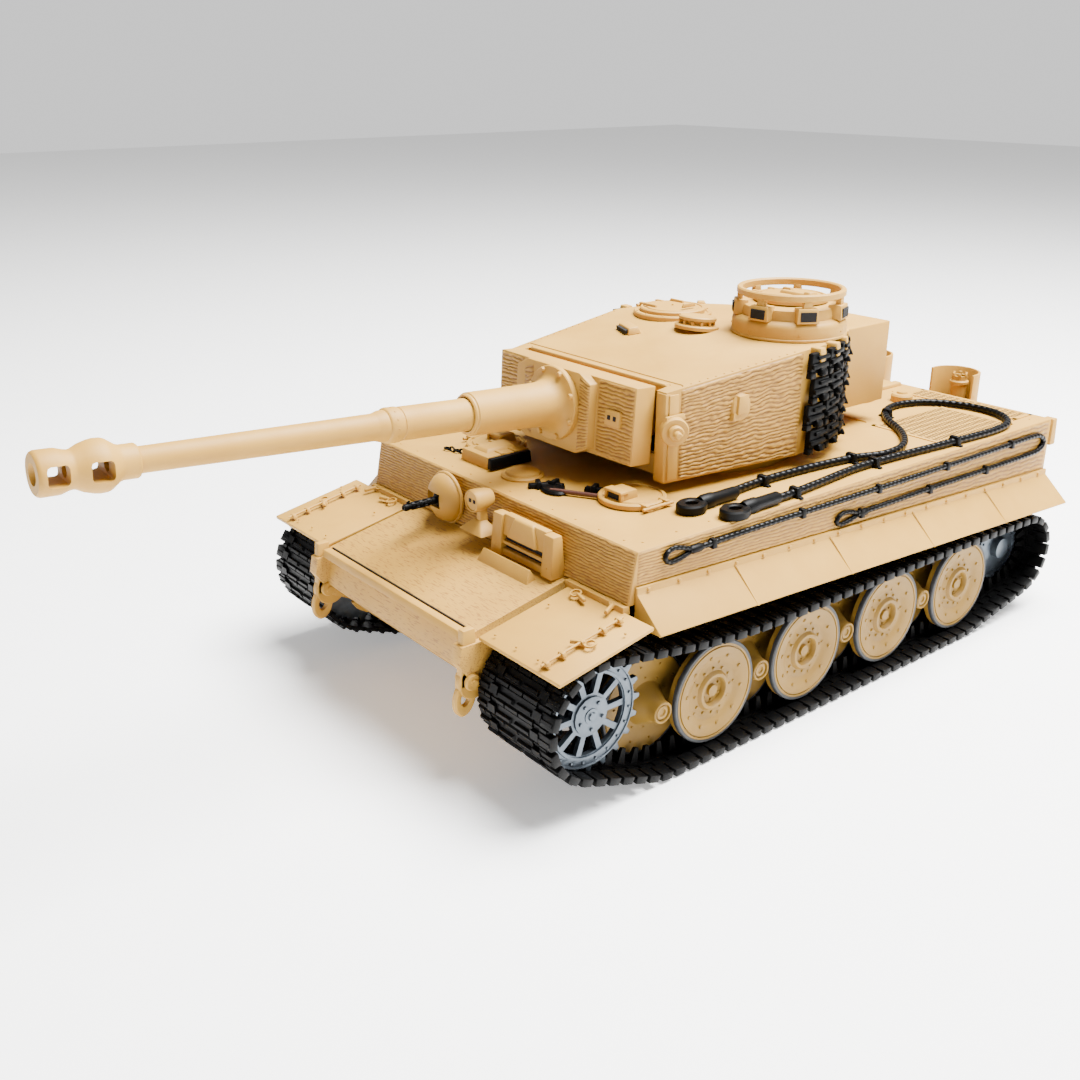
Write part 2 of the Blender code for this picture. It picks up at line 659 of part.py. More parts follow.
def barrel():
    """The sleeve bolted to the mantlet, the barrel that recoils in it and the muzzle brake."""
    sleeve = [
        (7.9, SLEEVE_FROM), (7.9, SLEEVE_TO), (9.2, SLEEVE_TO), (9.9, SLEEVE_TO - 2), (10.2, 40), (13.8, 32),
        (13.8, SLEEVE_FROM),
    ]  # fmt: skip
    place(turned("barrel_sleeve", sleeve[::-1], (0, 0, 0), "Y"), SAND, TRUNNION)
    tube = [
        (3.2, BORE_BACK), (7.3, BORE_BACK), (7.3, 119), (8.4, 119), (8.4, 122.5), (5.9, 122.5),
        (5.1, SEAM - GAP), (3.2, SEAM - GAP),
    ]  # fmt: skip
    place(turned("gun_barrel", tube, (0, 0, 0), "Y"), SAND, TRUNNION)
    brake = [
        (2.6, SEAM), (6.7, SEAM), (6.7, SEAM + 7), (10.2, SEAM + 13), (10.2, SEAM + 18), (7.2, SEAM + 24),
        (MUZZLE_R, SEAM + 29), (MUZZLE_R, MUZZLE), (2.6, MUZZLE),
    ]  # fmt: skip
    muzzle = turned("muzzle_brake", brake, (0, 0, 0), "Y")
    for start in (12.5, 27.5):
        along = (-SEAM - start - 6.5, -SEAM - start)
        muzzle = cut(muzzle, box("port", (-20, 20), along, (-3.6, 3.6)))
    place(muzzle, SAND, TRUNNION)


def bow_gun():
    """The bow machine gun: a ball in the shield's bore and the barrel in front of it."""
    x, y, z = BOW_BALL
    ball = turned("bow_gun", [(0, -4.4)] + ball_profile(4.4, 7) + [(0, 4.4)], BOW_BALL, "Y", 12)
    tube = turned("tube", [(0, 0), (1.6, 0), (1.6, 21), (0, 21)], BOW_BALL, "Y", 10)
    place(join(ball, tube), BLACK, pivot=(x, y, z))


def ball_profile(radius, points):
    angles = [math.radians(-90 + 180 * i / (points + 1)) for i in range(1, points + 1)]
    return [(radius * math.cos(a), radius * math.sin(a)) for a in angles]


TURRET = empty("turret_axis", (0, 0, 0), DATUM)
TRUNNION = empty("trunnion_axis", (0, TRUNNION_Y, TRUNNION_Z), TURRET, -REST_ELEVATION)
turret_shell()
cupola()
hatch_z = ROOF_Z + GAP + 16
hinge = (CUPOLA_X - 20, CUPOLA_Y, hatch_z + 1.2)
hatch_lid("commander_hatch", (CUPOLA_X, CUPOLA_Y), 18.5, hatch_z, 2.5, hinge, TURRET)
hatch_z = ROOF_Z + 1.6 + GAP
hinge = (LOADER_X - 19, LOADER_Y, hatch_z + 1.1)
hatch_lid("loader_hatch", (LOADER_X, LOADER_Y), 17.5, hatch_z, 2.3, hinge, TURRET)
for hatch, side_sign in (("driver_hatch", 1), ("radio_hatch", -1)):
    hatch_x = side_sign * CREW_HATCH_X
    hinge = (side_sign * (CREW_HATCH_X + 16.5), CREW_HATCH_Y, DECK_Z + 1.5)
    hatch_lid(hatch, (hatch_x, CREW_HATCH_Y), 15, DECK_Z + GAP, 2.4, hinge)
stowage_bin()
for side_name, side_sign in SIDES:
    spare_tracks(side_name, side_sign)
mantlet()
barrel()
bow_gun()


# Cables -------------------------------------------------------------------------------------
def smooth(route, spacing):
    """Points of a smooth curve through the route, about one spacing apart."""
    ends = [2 * Vector(route[0]) - Vector(route[1])] + [Vector(p) for p in route]
    ends.append(2 * ends[-1] - ends[-2])
    points = []
    for a, b, c, d in zip(ends, ends[1:], ends[2:], ends[3:]):
        pieces = max(1, round((c - b).length / spacing))
        for i in range(pieces):
            t = i / pieces
            bend, twist = 2 * a - 5 * b + 4 * c - d, 3 * b - a - 3 * c + d
            points.append(0.5 * (2 * b + (c - a) * t + bend * t**2 + twist * t**3))
    return points + [ends[-2]]


def cable(name, route, radius, spacing):
    """A clipped cable that follows its route."""
    curve = bpy.data.curves.new(name, "CURVE")
    curve.dimensions = "3D"
    curve.bevel_depth = radius * MM
    curve.bevel_resolution = 2
    curve.use_fill_caps = True
    points = smooth(route, spacing)
    spline = curve.splines.new("POLY")
    spline.points.add(len(points) - 1)
    for spot, point in zip(spline.points, points):
        spot.co = (*(point * MM), 1)
    obj = bpy.data.objects.new(name, curve)
    SHAPES.objects.link(obj)
    place(baked(obj), BLACK)


TOW_ROUTE = [
    (78.5, -68), (75.6, -45), (74.2, -25), (75.2, 5), (78.5, 35), (84.4, 55), (81, 74), (67.4, 91.7),
    (44, 110), (33, 130), (38, 152), (55, 164), (76, 165), (91, 154), (95.6, 135), (93.8, 96), (90.6, 55),
    (89.6, 25), (92.5, -5), (94.6, -30), (95.2, -58),
]  # fmt: skip
for side_name, side_sign in SIDES:
    tow_route = [(side_sign * x, y, DECK_Z + GAP + TOW_R) for x, y in TOW_ROUTE]
    cable("tow_cable_" + side_name, tow_route, TOW_R, 9)
SIDE_ROUTE = [
    (-99, 97.6), (-60, 98), (0, 97.4), (60, 97), (120, 97), (164, 97.2), (174, 95.8), (178, 92), (174, 88.2),
    (160, 87.2), (100, 87.4), (50, 87.6), (14, 87.4),
]  # fmt: skip
cable("side_cable", [(DECK_HALF + GAP + SIDE_R, y, z) for y, z in SIDE_ROUTE], SIDE_R, 11)
bpy.data.collections.remove(SHAPES)
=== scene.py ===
"""Looks of the radio-controlled heavy tank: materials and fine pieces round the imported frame.

The front faces -Y, the tank's left side is +X, and the tracks stand on Z = 0. Metres throughout;
MM turns a size in millimetres into metres.
"""
import json
import math

import bpy
from mathutils import Matrix, Vector, noise


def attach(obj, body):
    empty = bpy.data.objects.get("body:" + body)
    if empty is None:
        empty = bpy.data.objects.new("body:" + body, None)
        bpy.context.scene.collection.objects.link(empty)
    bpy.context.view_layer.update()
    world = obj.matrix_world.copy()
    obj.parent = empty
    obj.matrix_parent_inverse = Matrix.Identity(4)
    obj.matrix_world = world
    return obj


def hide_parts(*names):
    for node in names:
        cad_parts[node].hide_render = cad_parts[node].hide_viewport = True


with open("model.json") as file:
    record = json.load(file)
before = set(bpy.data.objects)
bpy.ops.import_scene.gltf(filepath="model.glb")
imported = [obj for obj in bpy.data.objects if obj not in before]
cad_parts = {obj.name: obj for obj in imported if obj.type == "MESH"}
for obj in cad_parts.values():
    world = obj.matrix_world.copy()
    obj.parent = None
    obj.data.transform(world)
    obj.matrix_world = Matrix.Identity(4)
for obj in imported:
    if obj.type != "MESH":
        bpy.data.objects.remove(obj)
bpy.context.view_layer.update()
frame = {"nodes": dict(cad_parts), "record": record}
MM = 0.001


# Camera ---------------------------------------------------------------------------------------
# A 40 mm lens above the left front corner, upright, looking down and back along the tank.
HULL_MIDDLE_Y = 60.1 * MM  # the hull's own middle, in the frame
eye = Vector((0.42243, -0.4352 + HULL_MIDDLE_Y, 0.28772))
aim = Vector((0.01025, -0.10715 + HULL_MIDDLE_Y, 0.07618))
lens = bpy.data.cameras.new("camera")
lens.sensor_width = 36
lens.lens = 39.74
lens.clip_start = 0.02
camera = bpy.data.objects.new("camera", lens)
camera.location = eye
camera.rotation_euler = (aim - eye).to_track_quat("-Z", "Y").to_euler()
bpy.context.scene.collection.objects.link(camera)
bpy.context.scene.camera = camera


# Floor and studio light -----------------------------------------------------------------------
# A white paper sweep, and soft boxes over the tank and off its left side, as for a catalogue picture.
def linear(colour):
    """An sRGB hex colour as linear light."""
    parts = [int(colour[i : i + 2], 16) / 255 for i in (1, 3, 5)]
    return (*[c / 12.92 if c <= 0.04045 else ((c + 0.055) / 1.055) ** 2.4 for c in parts], 1)


def add_node(tree, kind, inputs=(), **settings):
    """Adds a node with its settings; an input is a value, or another node's output to link."""
    node = tree.nodes.new(kind)
    for name, value in settings.items():
        setattr(node, name, value)
    for name, value in dict(inputs).items():
        if isinstance(value, bpy.types.NodeSocket):
            tree.links.new(value, node.inputs[name])
        else:
            node.inputs[name].default_value = value
    return node


def blank_material(name):
    """A new node material and its Principled shader."""
    material = bpy.data.materials.new(name)
    material.use_nodes = True
    return material, material.node_tree, material.node_tree.nodes["Principled BSDF"]


def deselect():
    if bpy.context.mode != "OBJECT":
        bpy.ops.object.mode_set(mode="OBJECT")
    bpy.ops.object.select_all(action="DESELECT")


paper, tree, shader = blank_material("white_paper")
grain = add_node(tree, "ShaderNodeTexNoise", {"Scale": 400, "Detail": 4})
tint = add_node(tree, "ShaderNodeMix", {"Factor": grain.outputs["Fac"]}, data_type="RGBA")
tint.inputs["A"].default_value = linear("#f6f6f5")
tint.inputs["B"].default_value = linear("#fbfbfa")
tree.links.new(tint.outputs["Result"], shader.inputs["Base Color"])
shader.inputs["Roughness"].default_value = 0.9
# The sweep is lit from behind as well, so that it stays near white and its shadows stay soft.
shader.inputs["Emission Color"].default_value = linear("#ffffff")
shader.inputs["Emission Strength"].default_value = 0.42
deselect()
bpy.ops.mesh.primitive_plane_add(size=8, location=(0, 0, -0.0002))
floor = bpy.context.object
floor.name = "floor"
floor.data.materials.append(paper)

world = bpy.data.worlds.new("studio")
world.use_nodes = True
sky = world.node_tree
facing = add_node(sky, "ShaderNodeTexCoord").outputs["Generated"]
height = add_node(sky, "ShaderNodeSeparateXYZ", {"Vector": facing}).outputs["Z"]
# A lit backdrop stands all round, 8 degrees high, and fades by 17 into the dimmer room above it.
level = add_node(sky, "ShaderNodeMapRange", {
    "Value": height, "From Min": 0.14, "From Max": 0.3, "To Min": 1.0, "To Max": 0.3,
})  # fmt: skip
sky.nodes["Background"].inputs["Color"].default_value = linear("#ffffff")
sky.links.new(level.outputs["Result"], sky.nodes["Background"].inputs["Strength"])
bpy.context.scene.world = world
for name, size, watts, place in (
    ("top_box", 0.95, 160, (0.25, 0.45, 1.35)),
    ("left_box", 0.7, 3, (1.2, 0.35, 0.75)),
):
    light = bpy.data.lights.new(name, "AREA")
    light.size = size
    light.energy = watts
    box_light = bpy.data.objects.new(name, light)
    box_light.location = place
    towards = Vector((0, 0.05, 0.08)) - Vector(place)
    box_light.rotation_euler = towards.to_track_quat("-Z", "Y").to_euler()
    bpy.context.scene.collection.objects.link(box_light)


# Hull shells ----------------------------------------------------------------------------------
# The tub, superstructure, rear plate, skirts and front fenders: injection-moulded ABS, sprayed in
# flat sand. Each is the frame's own shape with its arrises broken, as a mould leaves them.
def sand_paint(name, streaks=False, painted_crease_shade=False):
    """Sprayed ABS: a warm satin sand, a little mottled, with the fine tooth of the paint; if asked, dashes,
    and painted shade in the creases.
    """
    material, tree, shader = blank_material(name)
    where = add_node(tree, "ShaderNodeTexCoord").outputs["Object"]
    cloudy = {"Vector": where, "Scale": 28, "Detail": 3, "Roughness": 0.6}
    mottle = add_node(tree, "ShaderNodeTexNoise", cloudy)
    tone = add_node(tree, "ShaderNodeValToRGB", {"Fac": mottle.outputs["Fac"]})
    tone.color_ramp.elements[0].position = 0.3
    tone.color_ramp.elements[0].color = linear("#a97d2c")
    tone.color_ramp.elements[1].position = 0.7
    tone.color_ramp.elements[1].color = linear("#b38836")
    colour = tone.outputs["Color"]
    tooth = add_node(tree, "ShaderNodeTexNoise", {"Vector": where, "Scale": 2600, "Detail": 2})
    height = tooth.outputs["Fac"]
    if streaks:
        # Short shallow dashes pressed into the coating, about 4 mm long and 0.7 mm high, run across.
        squeezed = add_node(tree, "ShaderNodeMapping", {"Vector": where, "Scale": (230, 1500, 1500)})
        across = squeezed.outputs["Vector"]
        dash = add_node(tree, "ShaderNodeTexNoise", {"Vector": across, "Scale": 1.0, "Detail": 1})
        mark = add_node(tree, "ShaderNodeValToRGB", {"Fac": dash.outputs["Fac"]})
        mark.color_ramp.elements[0].position = 0.56
        mark.color_ramp.elements[0].color = (0, 0, 0, 1)
        mark.color_ramp.elements[1].position = 0.66
        mark.color_ramp.elements[1].color = (1, 1, 1, 1)
        share = add_node(tree, "ShaderNodeMath", {0: mark.outputs["Color"], 1: 0.7}, operation="MULTIPLY")
        dash_stain_and_crease_shade = add_node(tree, "ShaderNodeMix", {"Factor": share.outputs[0]}, data_type="RGBA")
        tree.links.new(colour, dash_stain_and_crease_shade.inputs["A"])
        dash_stain_and_crease_shade.inputs["B"].default_value = linear("#7d5222")
        colour = dash_stain_and_crease_shade.outputs["Result"]
        cut = {0: height, 1: mark.outputs["Color"]}
        height = add_node(tree, "ShaderNodeMath", cut, operation="SUBTRACT").outputs[0]
    if painted_crease_shade:
        # Painted shade: the colour darkens between the ridges, where shade falls; each piece holds how deep
        # in a crease its points are.
        depth = add_node(tree, "ShaderNodeAttribute", attribute_name="crease_shade_share")
        share = add_node(tree, "ShaderNodeMath", {0: depth.outputs["Fac"], 1: 0.9}, operation="POWER")
        dash_stain_and_crease_shade = add_node(tree, "ShaderNodeMix", {"Factor": share.outputs[0]}, data_type="RGBA")
        tree.links.new(colour, dash_stain_and_crease_shade.inputs["A"])
        dash_stain_and_crease_shade.inputs["B"].default_value = linear("#6b451c")
        colour = dash_stain_and_crease_shade.outputs["Result"]
    tree.links.new(colour, shader.inputs["Base Color"])
    patch = add_node(tree, "ShaderNodeTexNoise", {"Vector": where, "Scale": 120, "Detail": 2})
    spread = {"Value": patch.outputs["Fac"], "To Min": 0.5, "To Max": 0.64}
    gloss = add_node(tree, "ShaderNodeMapRange", spread)
    tree.links.new(gloss.outputs["Result"], shader.inputs["Roughness"])
    shader.inputs["Specular IOR Level"].default_value = 0.35
    bump = add_node(tree, "ShaderNodeBump", {"Height": height, "Strength": 0.25, "Distance": 0.0001})
    tree.links.new(bump.outputs["Normal"], shader.inputs["Normal"])
    return material


def broken_edges(node, width, material):
    """A copy of a frame node with its arrises rounded by a width in mm, which stands for that node."""
    original = frame["nodes"][node]
    piece = bpy.data.objects.new(node + "_moulding", original.data.copy())
    bpy.context.scene.collection.objects.link(piece)
    deselect()
    piece.select_set(True)
    bpy.context.view_layer.objects.active = piece
    bpy.ops.object.mode_set(mode="EDIT")
    bpy.ops.mesh.select_all(action="SELECT")
    bpy.ops.mesh.remove_doubles(threshold=0.00001)
    bpy.ops.mesh.dissolve_limited(angle_limit=math.radians(0.5))
    bpy.ops.object.mode_set(mode="OBJECT")
    bevel = piece.modifiers.new("broken", "BEVEL")
    bevel.width = width * MM
    bevel.segments = 2
    bevel.limit_method = "ANGLE"
    bevel.angle_limit = math.radians(28)
    bevel.use_clamp_overlap = True
    bpy.ops.object.modifier_apply(modifier="broken")
    bpy.ops.object.shade_smooth_by_angle(angle=math.radians(30))
    piece.data.materials.clear()
    piece.data.materials.append(material)
    body = next(b for b, nodes in frame["record"]["behaviour"]["bodies"].items() if node in nodes)
    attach(piece, body)
    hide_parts(node)
    return piece


sand = sand_paint("sprayed_sand_abs")
sand_dashed = sand_paint("sprayed_sand_abs_dashed", streaks=True)
for node, width in (("upper_hull", 0.5), ("rear_plate", 0.4), ("stowage_bin", 0.6)):
    broken_edges(node, width, sand)
broken_edges("lower_hull", 0.5, sand_dashed)
for side in ("left", "right"):
    broken_edges("skirt_" + side, 0.25, sand)
    broken_edges("front_fender_" + side, 0.3, sand)
    broken_edges("exhaust_shield_" + side, 0.25, sand)


# Suspension rails and final drives ------------------------------------------------------------
# Die-cast arms on the real tank; here one ABS rail a side with a stub for each wheel, and the
# round drive housings in front, all sprayed with the hull.
for side in ("left", "right"):
    broken_edges("suspension_" + side, 0.3, sand)
    broken_edges("final_drive_" + side, 0.6, sand)


# Road wheels ----------------------------------------------------------------------------------
# Eight a side, overlapping: dished discs in front on the even axles, and discs set back behind a
# long cone hub on the odd ones. Moulded ABS in a greener sand, with a thin black rubber tyre.
def spun(name, profile, steps=48):
    """A closed turned shape about Z, spun from the (radius, height) points of its half section."""
    mesh = bpy.data.meshes.new(name)
    on_axis = profile[0][0] == 0 and profile[-1][0] == 0
    count = len(profile)
    edges = [(i, (i + 1) % count) for i in range(count - 1 if on_axis else count)]
    mesh.from_pydata([(r * MM, 0, h * MM) for r, h in profile], edges, [])
    piece = bpy.data.objects.new(name, mesh)
    bpy.context.scene.collection.objects.link(piece)
    deselect()
    piece.select_set(True)
    bpy.context.view_layer.objects.active = piece
    bpy.ops.object.mode_set(mode="EDIT")
    bpy.ops.mesh.select_all(action="SELECT")
    bpy.ops.mesh.spin(steps=steps, angle=2 * math.pi, center=(0, 0, 0), axis=(0, 0, 1))
    bpy.ops.mesh.select_all(action="SELECT")
    bpy.ops.mesh.remove_doubles(threshold=0.000002)
    bpy.ops.mesh.normals_make_consistent(inside=False)
    bpy.ops.object.mode_set(mode="OBJECT")
    bpy.ops.object.shade_smooth_by_angle(angle=math.radians(32))
    return piece


def block(name, low, high, top=(1, 1), bevel=0.0):
    """A block between two corners in mm; its upper face is drawn in to a share of its size."""
    size = [(b - a) * MM for a, b in zip(low, high)]
    middle = [(a + b) / 2 * MM for a, b in zip(low, high)]
    deselect()
    bpy.ops.mesh.primitive_cube_add(size=1, location=middle)
    piece = bpy.context.object
    piece.name = name
    piece.scale = size
    bpy.ops.object.transform_apply(location=True, rotation=False, scale=True)
    for vertex in piece.data.vertices:
        if vertex.co.z > middle[2]:
            vertex.co.x = middle[0] + (vertex.co.x - middle[0]) * top[0]
            vertex.co.y = middle[1] + (vertex.co.y - middle[1]) * top[1]
    if bevel:
        bpy.ops.object.mode_set(mode="EDIT")
        bpy.ops.mesh.select_all(action="SELECT")
        bpy.ops.mesh.bevel(offset=bevel * MM, segments=2, affect="EDGES")
        bpy.ops.object.mode_set(mode="OBJECT")
        bpy.ops.object.shade_smooth_by_angle(angle=math.radians(40))
    return piece


def shifted(x=0, y=0, z=0):
    return Matrix.Translation((x * MM, y * MM, z * MM))


def turned_by(angle, axis):
    return Matrix.Rotation(math.radians(angle), 4, axis)


def stretched(x, y, z=1):
    return Matrix.Diagonal((x, y, z, 1))


def handed(sign):
    """Leaves a piece drawn for the left side alone, and mirrors it for the right one."""
    return stretched(sign, 1)


def copy_of(piece, name, place):
    """A copy with a mesh of its own, moved to a place; a mirrored one has its faces turned back out."""
    mesh = piece.data.copy()
    mesh.transform(place)
    if place.determinant() < 0:
        mesh.flip_normals()
    twin = bpy.data.objects.new(name, mesh)
    bpy.context.scene.collection.objects.link(twin)
    return twin


def joined(name, pieces):
    """All the pieces as one object, which keeps each one's materials."""
    deselect()
    for piece in pieces:
        piece.select_set(True)
    bpy.context.view_layer.objects.active = pieces[0]
    bpy.ops.object.join()
    pieces[0].name = name
    return pieces[0]


def moved(piece, place):
    """The piece itself, moved to a place."""
    piece.data.transform(place)
    if place.determinant() < 0:
        piece.data.flip_normals()
    return piece


def around(piece, count, start=0.0):
    """Copies of a piece spaced evenly round Z, and the first one itself removed."""
    ring = [copy_of(piece, "ring", turned_by(start + 360 * i / count, "Z")) for i in range(count)]
    bpy.data.objects.remove(piece)
    return ring


def painted(piece, material):
    piece.data.materials.clear()
    piece.data.materials.append(material)
    return piece


def fitted(piece, body, slot, *nodes):
    """The piece rides on a body and stands for any nodes given; slot is not used."""
    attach(piece, body)
    if nodes:
        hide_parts(*nodes)
    return piece


def domed_bolt(radius, height):
    """A small round-headed bolt standing on Z = 0, eight-sided."""
    shoulder, crown = (radius, 0.35 * height), (0.72 * radius, 0.85 * height)
    return spun("bolt", [(0, -0.4), (radius, -0.4), shoulder, crown, (0, height)], 8)


def in_hull(x, y, z):
    """A point given from the hull's middle, as a move in the frame."""
    return Matrix.Translation((x * MM, y * MM + HULL_MIDDLE_Y, z * MM))


def mottled(name, dark, light, scale, detail, roughness):
    """A material whose colour wanders between two tones; a pair of roughnesses wanders with it."""
    material, tree, shader = blank_material(name)
    where = add_node(tree, "ShaderNodeTexCoord").outputs["Object"]
    patch = add_node(tree, "ShaderNodeTexNoise", {"Vector": where, "Scale": scale, "Detail": detail})
    tone = add_node(tree, "ShaderNodeValToRGB", {"Fac": patch.outputs["Fac"]})
    tone.color_ramp.elements[0].color = linear(dark)
    tone.color_ramp.elements[1].color = linear(light)
    tree.links.new(tone.outputs["Color"], shader.inputs["Base Color"])
    if isinstance(roughness, tuple):
        low, high = roughness
        spread = {"Value": patch.outputs["Fac"], "To Min": low, "To Max": high}
        gloss = add_node(tree, "ShaderNodeMapRange", spread)
        tree.links.new(gloss.outputs["Result"], shader.inputs["Roughness"])
    else:
        shader.inputs["Roughness"].default_value = roughness
    return material, shader


wheel_paint = sand_paint("sprayed_olive_sand_abs")
ramp = next(n for n in wheel_paint.node_tree.nodes if n.type == "VALTORGB")
ramp.color_ramp.elements[0].color = linear("#785919")
ramp.color_ramp.elements[1].color = linear("#846422")

# Vulcanised rubber: almost black and dull, with a faint grey bloom that makes its edge soft.
rubber, _ = mottled("moulded_black_rubber", "#1c1d1e", "#2e2f31", 300, 3, 0.65)

to_side = turned_by(90, "Y")  # Z of a turned shape becomes the tank's X
AXLES = 8  # a side
AXLE_STEP = 31
FIRST_AXLE = (-116.9, 29.3)  # Y and Z, from the hull's middle, in mm
front_disc = spun("disc", [
    (0, 106.6), (2.6, 106.6), (2.8, 105.2), (3.4, 105.0), (6.4, 105.0), (6.7, 107.3), (7.0, 107.7),
    (8.4, 107.7), (8.9, 107.2), (9.6, 106.2), (12.5, 105.7), (14.4, 105.9), (15.4, 106.6),
    (18.4, 107.4), (20.6, 107.8), (21.3, 107.9), (21.5, 107.2), (21.9, 107.2), (22.1, 107.9),
    (22.9, 107.9), (22.9, 105.3), (24.4, 105.3), (24.4, 103.2), (5.5, 103.0), (5.5, 85.5),
    (24.4, 85.3), (24.4, 83.2), (23.5, 83.2), (23.5, 80.7), (3.6, 80.5), (3.6, 104.2), (0, 104.2),
])  # fmt: skip
front_parts = [front_disc]
front_parts += around(moved(domed_bolt(0.95, 0.8), shifted(x=17.2, z=107.0)), 10, 10)
front_parts += around(moved(domed_bolt(0.8, 0.8), shifted(x=10.9, z=105.9)), 12)
front_parts += around(moved(domed_bolt(0.62, 0.9), shifted(x=4.9, z=105.0)), 6)
front_parts += around(block("slot", (12.9, -0.3, 105.5), (13.9, 0.3, 106.2)), 5, 20)
for part in front_parts:
    painted(part, wheel_paint)
for inner, outer in ((105.4, 107.6), (80.9, 83.1)):
    tyre = spun("tyre", [
        (22.8, inner), (24.2, inner), (24.6, inner + 0.5), (24.6, outer - 0.3), (24.2, outer + 0.2),
        (22.8, outer + 0.2),
    ])  # fmt: skip
    front_parts.append(painted(tyre, rubber))
front_wheel = joined("front_wheel", front_parts)

set_back_disc = spun("disc", [
    (0, 105.9), (1.6, 105.9), (1.9, 106.6), (3.0, 106.6), (3.2, 105.8), (3.9, 105.8), (4.1, 107.1),
    (4.7, 107.3), (5.1, 106.9), (5.5, 103.2), (6.6, 101.6), (9.2, 96.4), (10.2, 95.4), (13.6, 94.9),
    (16.4, 95.5), (21.0, 95.9), (22.8, 95.9), (23.0, 95.5), (23.5, 95.5), (23.5, 93.3), (24.4, 93.3),
    (24.4, 91.2), (5.5, 91.0), (5.5, 73.5), (24.4, 73.3), (24.4, 71.2), (23.5, 71.2), (23.5, 68.7),
    (3.6, 68.5), (3.6, 103.0), (0, 103.0),
])  # fmt: skip
back_parts = [set_back_disc]
back_parts += around(moved(domed_bolt(0.55, 0.7), shifted(x=18.4, z=95.7)), 10, 10)
back_parts += around(moved(domed_bolt(0.5, 0.7), shifted(x=12.0, z=95.1)), 10)
for part in back_parts:
    painted(part, wheel_paint)
for inner, outer in ((93.4, 95.6), (68.9, 71.1)):
    tyre = spun("tyre", [
        (23.3, inner), (24.2, inner), (24.6, inner + 0.5), (24.6, outer - 0.5), (24.2, outer), (23.3, outer),
    ])  # fmt: skip
    back_parts.append(painted(tyre, rubber))
back_wheel = joined("back_wheel", back_parts)

for side, sign in (("left", 1), ("right", -1)):
    for axle in range(AXLES):
        kind = front_wheel if axle % 2 else back_wheel
        node = f"road_wheel_{side}_{axle + 1}"
        place = in_hull(0, FIRST_AXLE[0] + AXLE_STEP * axle, FIRST_AXLE[1]) @ handed(sign) @ to_side
        fitted(copy_of(kind, node + "_disc", place), node, "wheel_plastic", node)
for kind in (front_wheel, back_wheel):
    bpy.data.objects.remove(kind)


# Sprockets and idlers -------------------------------------------------------------------------
# Cast wheels in a bright silver finish. The sprocket's toothed ring is bolted to its spokes, and
# the idler is a plain dished pair.

# Diecast zinc, tumbled and sprayed with a clear satin lacquer: bright, with soft cloudy reflections.
silver, shader = mottled("satin_silver_casting", "#3d444b", "#626a72", 220, 4, (0.3, 0.45))
shader.inputs["Metallic"].default_value = 0.75

SPROCKET_AXLE, IDLER_AXLE = (-157.5, 42.5), (153.5, 34)  # Y and Z, as FIRST_AXLE


def wheel_fittings(node, axle, sign, extras):
    """A cast wheel's bolts and lips, drawn about Z and turned onto its axle."""
    fittings = painted(joined(node + "_bolts", extras), silver)
    moved(fittings, in_hull(0, *axle) @ handed(sign) @ to_side)
    fitted(fittings, node, "running_gear_metal")


for side, sign in (("left", 1), ("right", -1)):
    broken_edges("sprocket_" + side, 0.2, silver)
    extras = around(moved(domed_bolt(0.7, 0.8), shifted(x=21.6, z=105.7)), 20, 9)
    extras += around(moved(domed_bolt(0.9, 0.9), shifted(x=6.2, z=106.8)), 5)
    extras.append(spun("lip", [(18.6, 105.6), (18.6, 106.5), (19.6, 106.5), (19.8, 105.6)]))
    extras.append(spun("lip", [(23.0, 105.6), (23.2, 106.2), (23.7, 106.2), (23.9, 105.6)]))
    cap = [(0, 106.6), (0, 107.9), (1.6, 107.9), (2.0, 107.2), (3.4, 107.2), (3.6, 106.6)]
    extras.append(spun("cap", cap))
    wheel_fittings("sprocket_" + side, SPROCKET_AXLE, sign, extras)
    broken_edges("idler_" + side, 0.3, silver)
    extras = around(moved(domed_bolt(0.7, 0.8), shifted(x=14.2, z=95.5)), 10)
    extras.append(spun("lip", [(16.6, 95.4), (16.8, 96.3), (18.2, 96.3), (18.4, 95.4)]))
    wheel_fittings("idler_" + side, IDLER_AXLE, sign, extras)


# Tracks ---------------------------------------------------------------------------------------
# Ninety-six cast links a side, moulded here in black nylon: three pads with bars across them, eyes
# and a pin at the joint, and two guide horns that run between the wheels.

# Glass-filled nylon straight from the mould: deep black, its satin gloss broken up in small patches.
nylon, shader = mottled("black_nylon", "#010101", "#040404", 500, 3, (0.4, 0.55))
shader.inputs["Specular IOR Level"].default_value = 0.1

TRACK_DEPTH = 4.2  # from the wheels to the outside of the links
LINKS = 96
PIN_HEIGHT = 2.0  # above the inner face
TRACK_GAP = 0.5  # between a wheel and the inner face


def along_arc(centre, radius, start, end, count):
    angles = [math.radians(start + (end - start) * i / (count - 1)) for i in range(count)]
    return [Vector((centre[0] + radius * math.cos(a), centre[1] + radius * math.sin(a))) for a in angles]


def climb(near, near_radius, far, far_radius):
    """Degrees that the lower tangent line from one circle to the next climbs."""
    run, rise = abs(near[0] - far[0]), far[1] - near[1]
    lean = math.asin((far_radius - near_radius) / math.hypot(run, rise))
    return math.degrees(lean - math.atan2(rise, run))


# The radii that the pins run at: over the tyres, round the sprocket's outside, over the idler.
wheel_line = 24.6 + TRACK_GAP + PIN_HEIGHT
sprocket_line = 28.2 - TRACK_DEPTH + PIN_HEIGHT
idler_line = 18.7 + TRACK_GAP + PIN_HEIGHT
THIRD_AXLE, LAST_AXLE = (-54.9, 29.3), (100.1, 29.3)
front_climb = 180 + climb(FIRST_AXLE, wheel_line, SPROCKET_AXLE, sprocket_line)
rear_climb = -climb(LAST_AXLE, wheel_line, IDLER_AXLE, idler_line)
pin_line = along_arc(FIRST_AXLE, wheel_line, 270, 90 + front_climb, 12)
pin_line += along_arc(SPROCKET_AXLE, sprocket_line, 90 + front_climb, 80, 60)
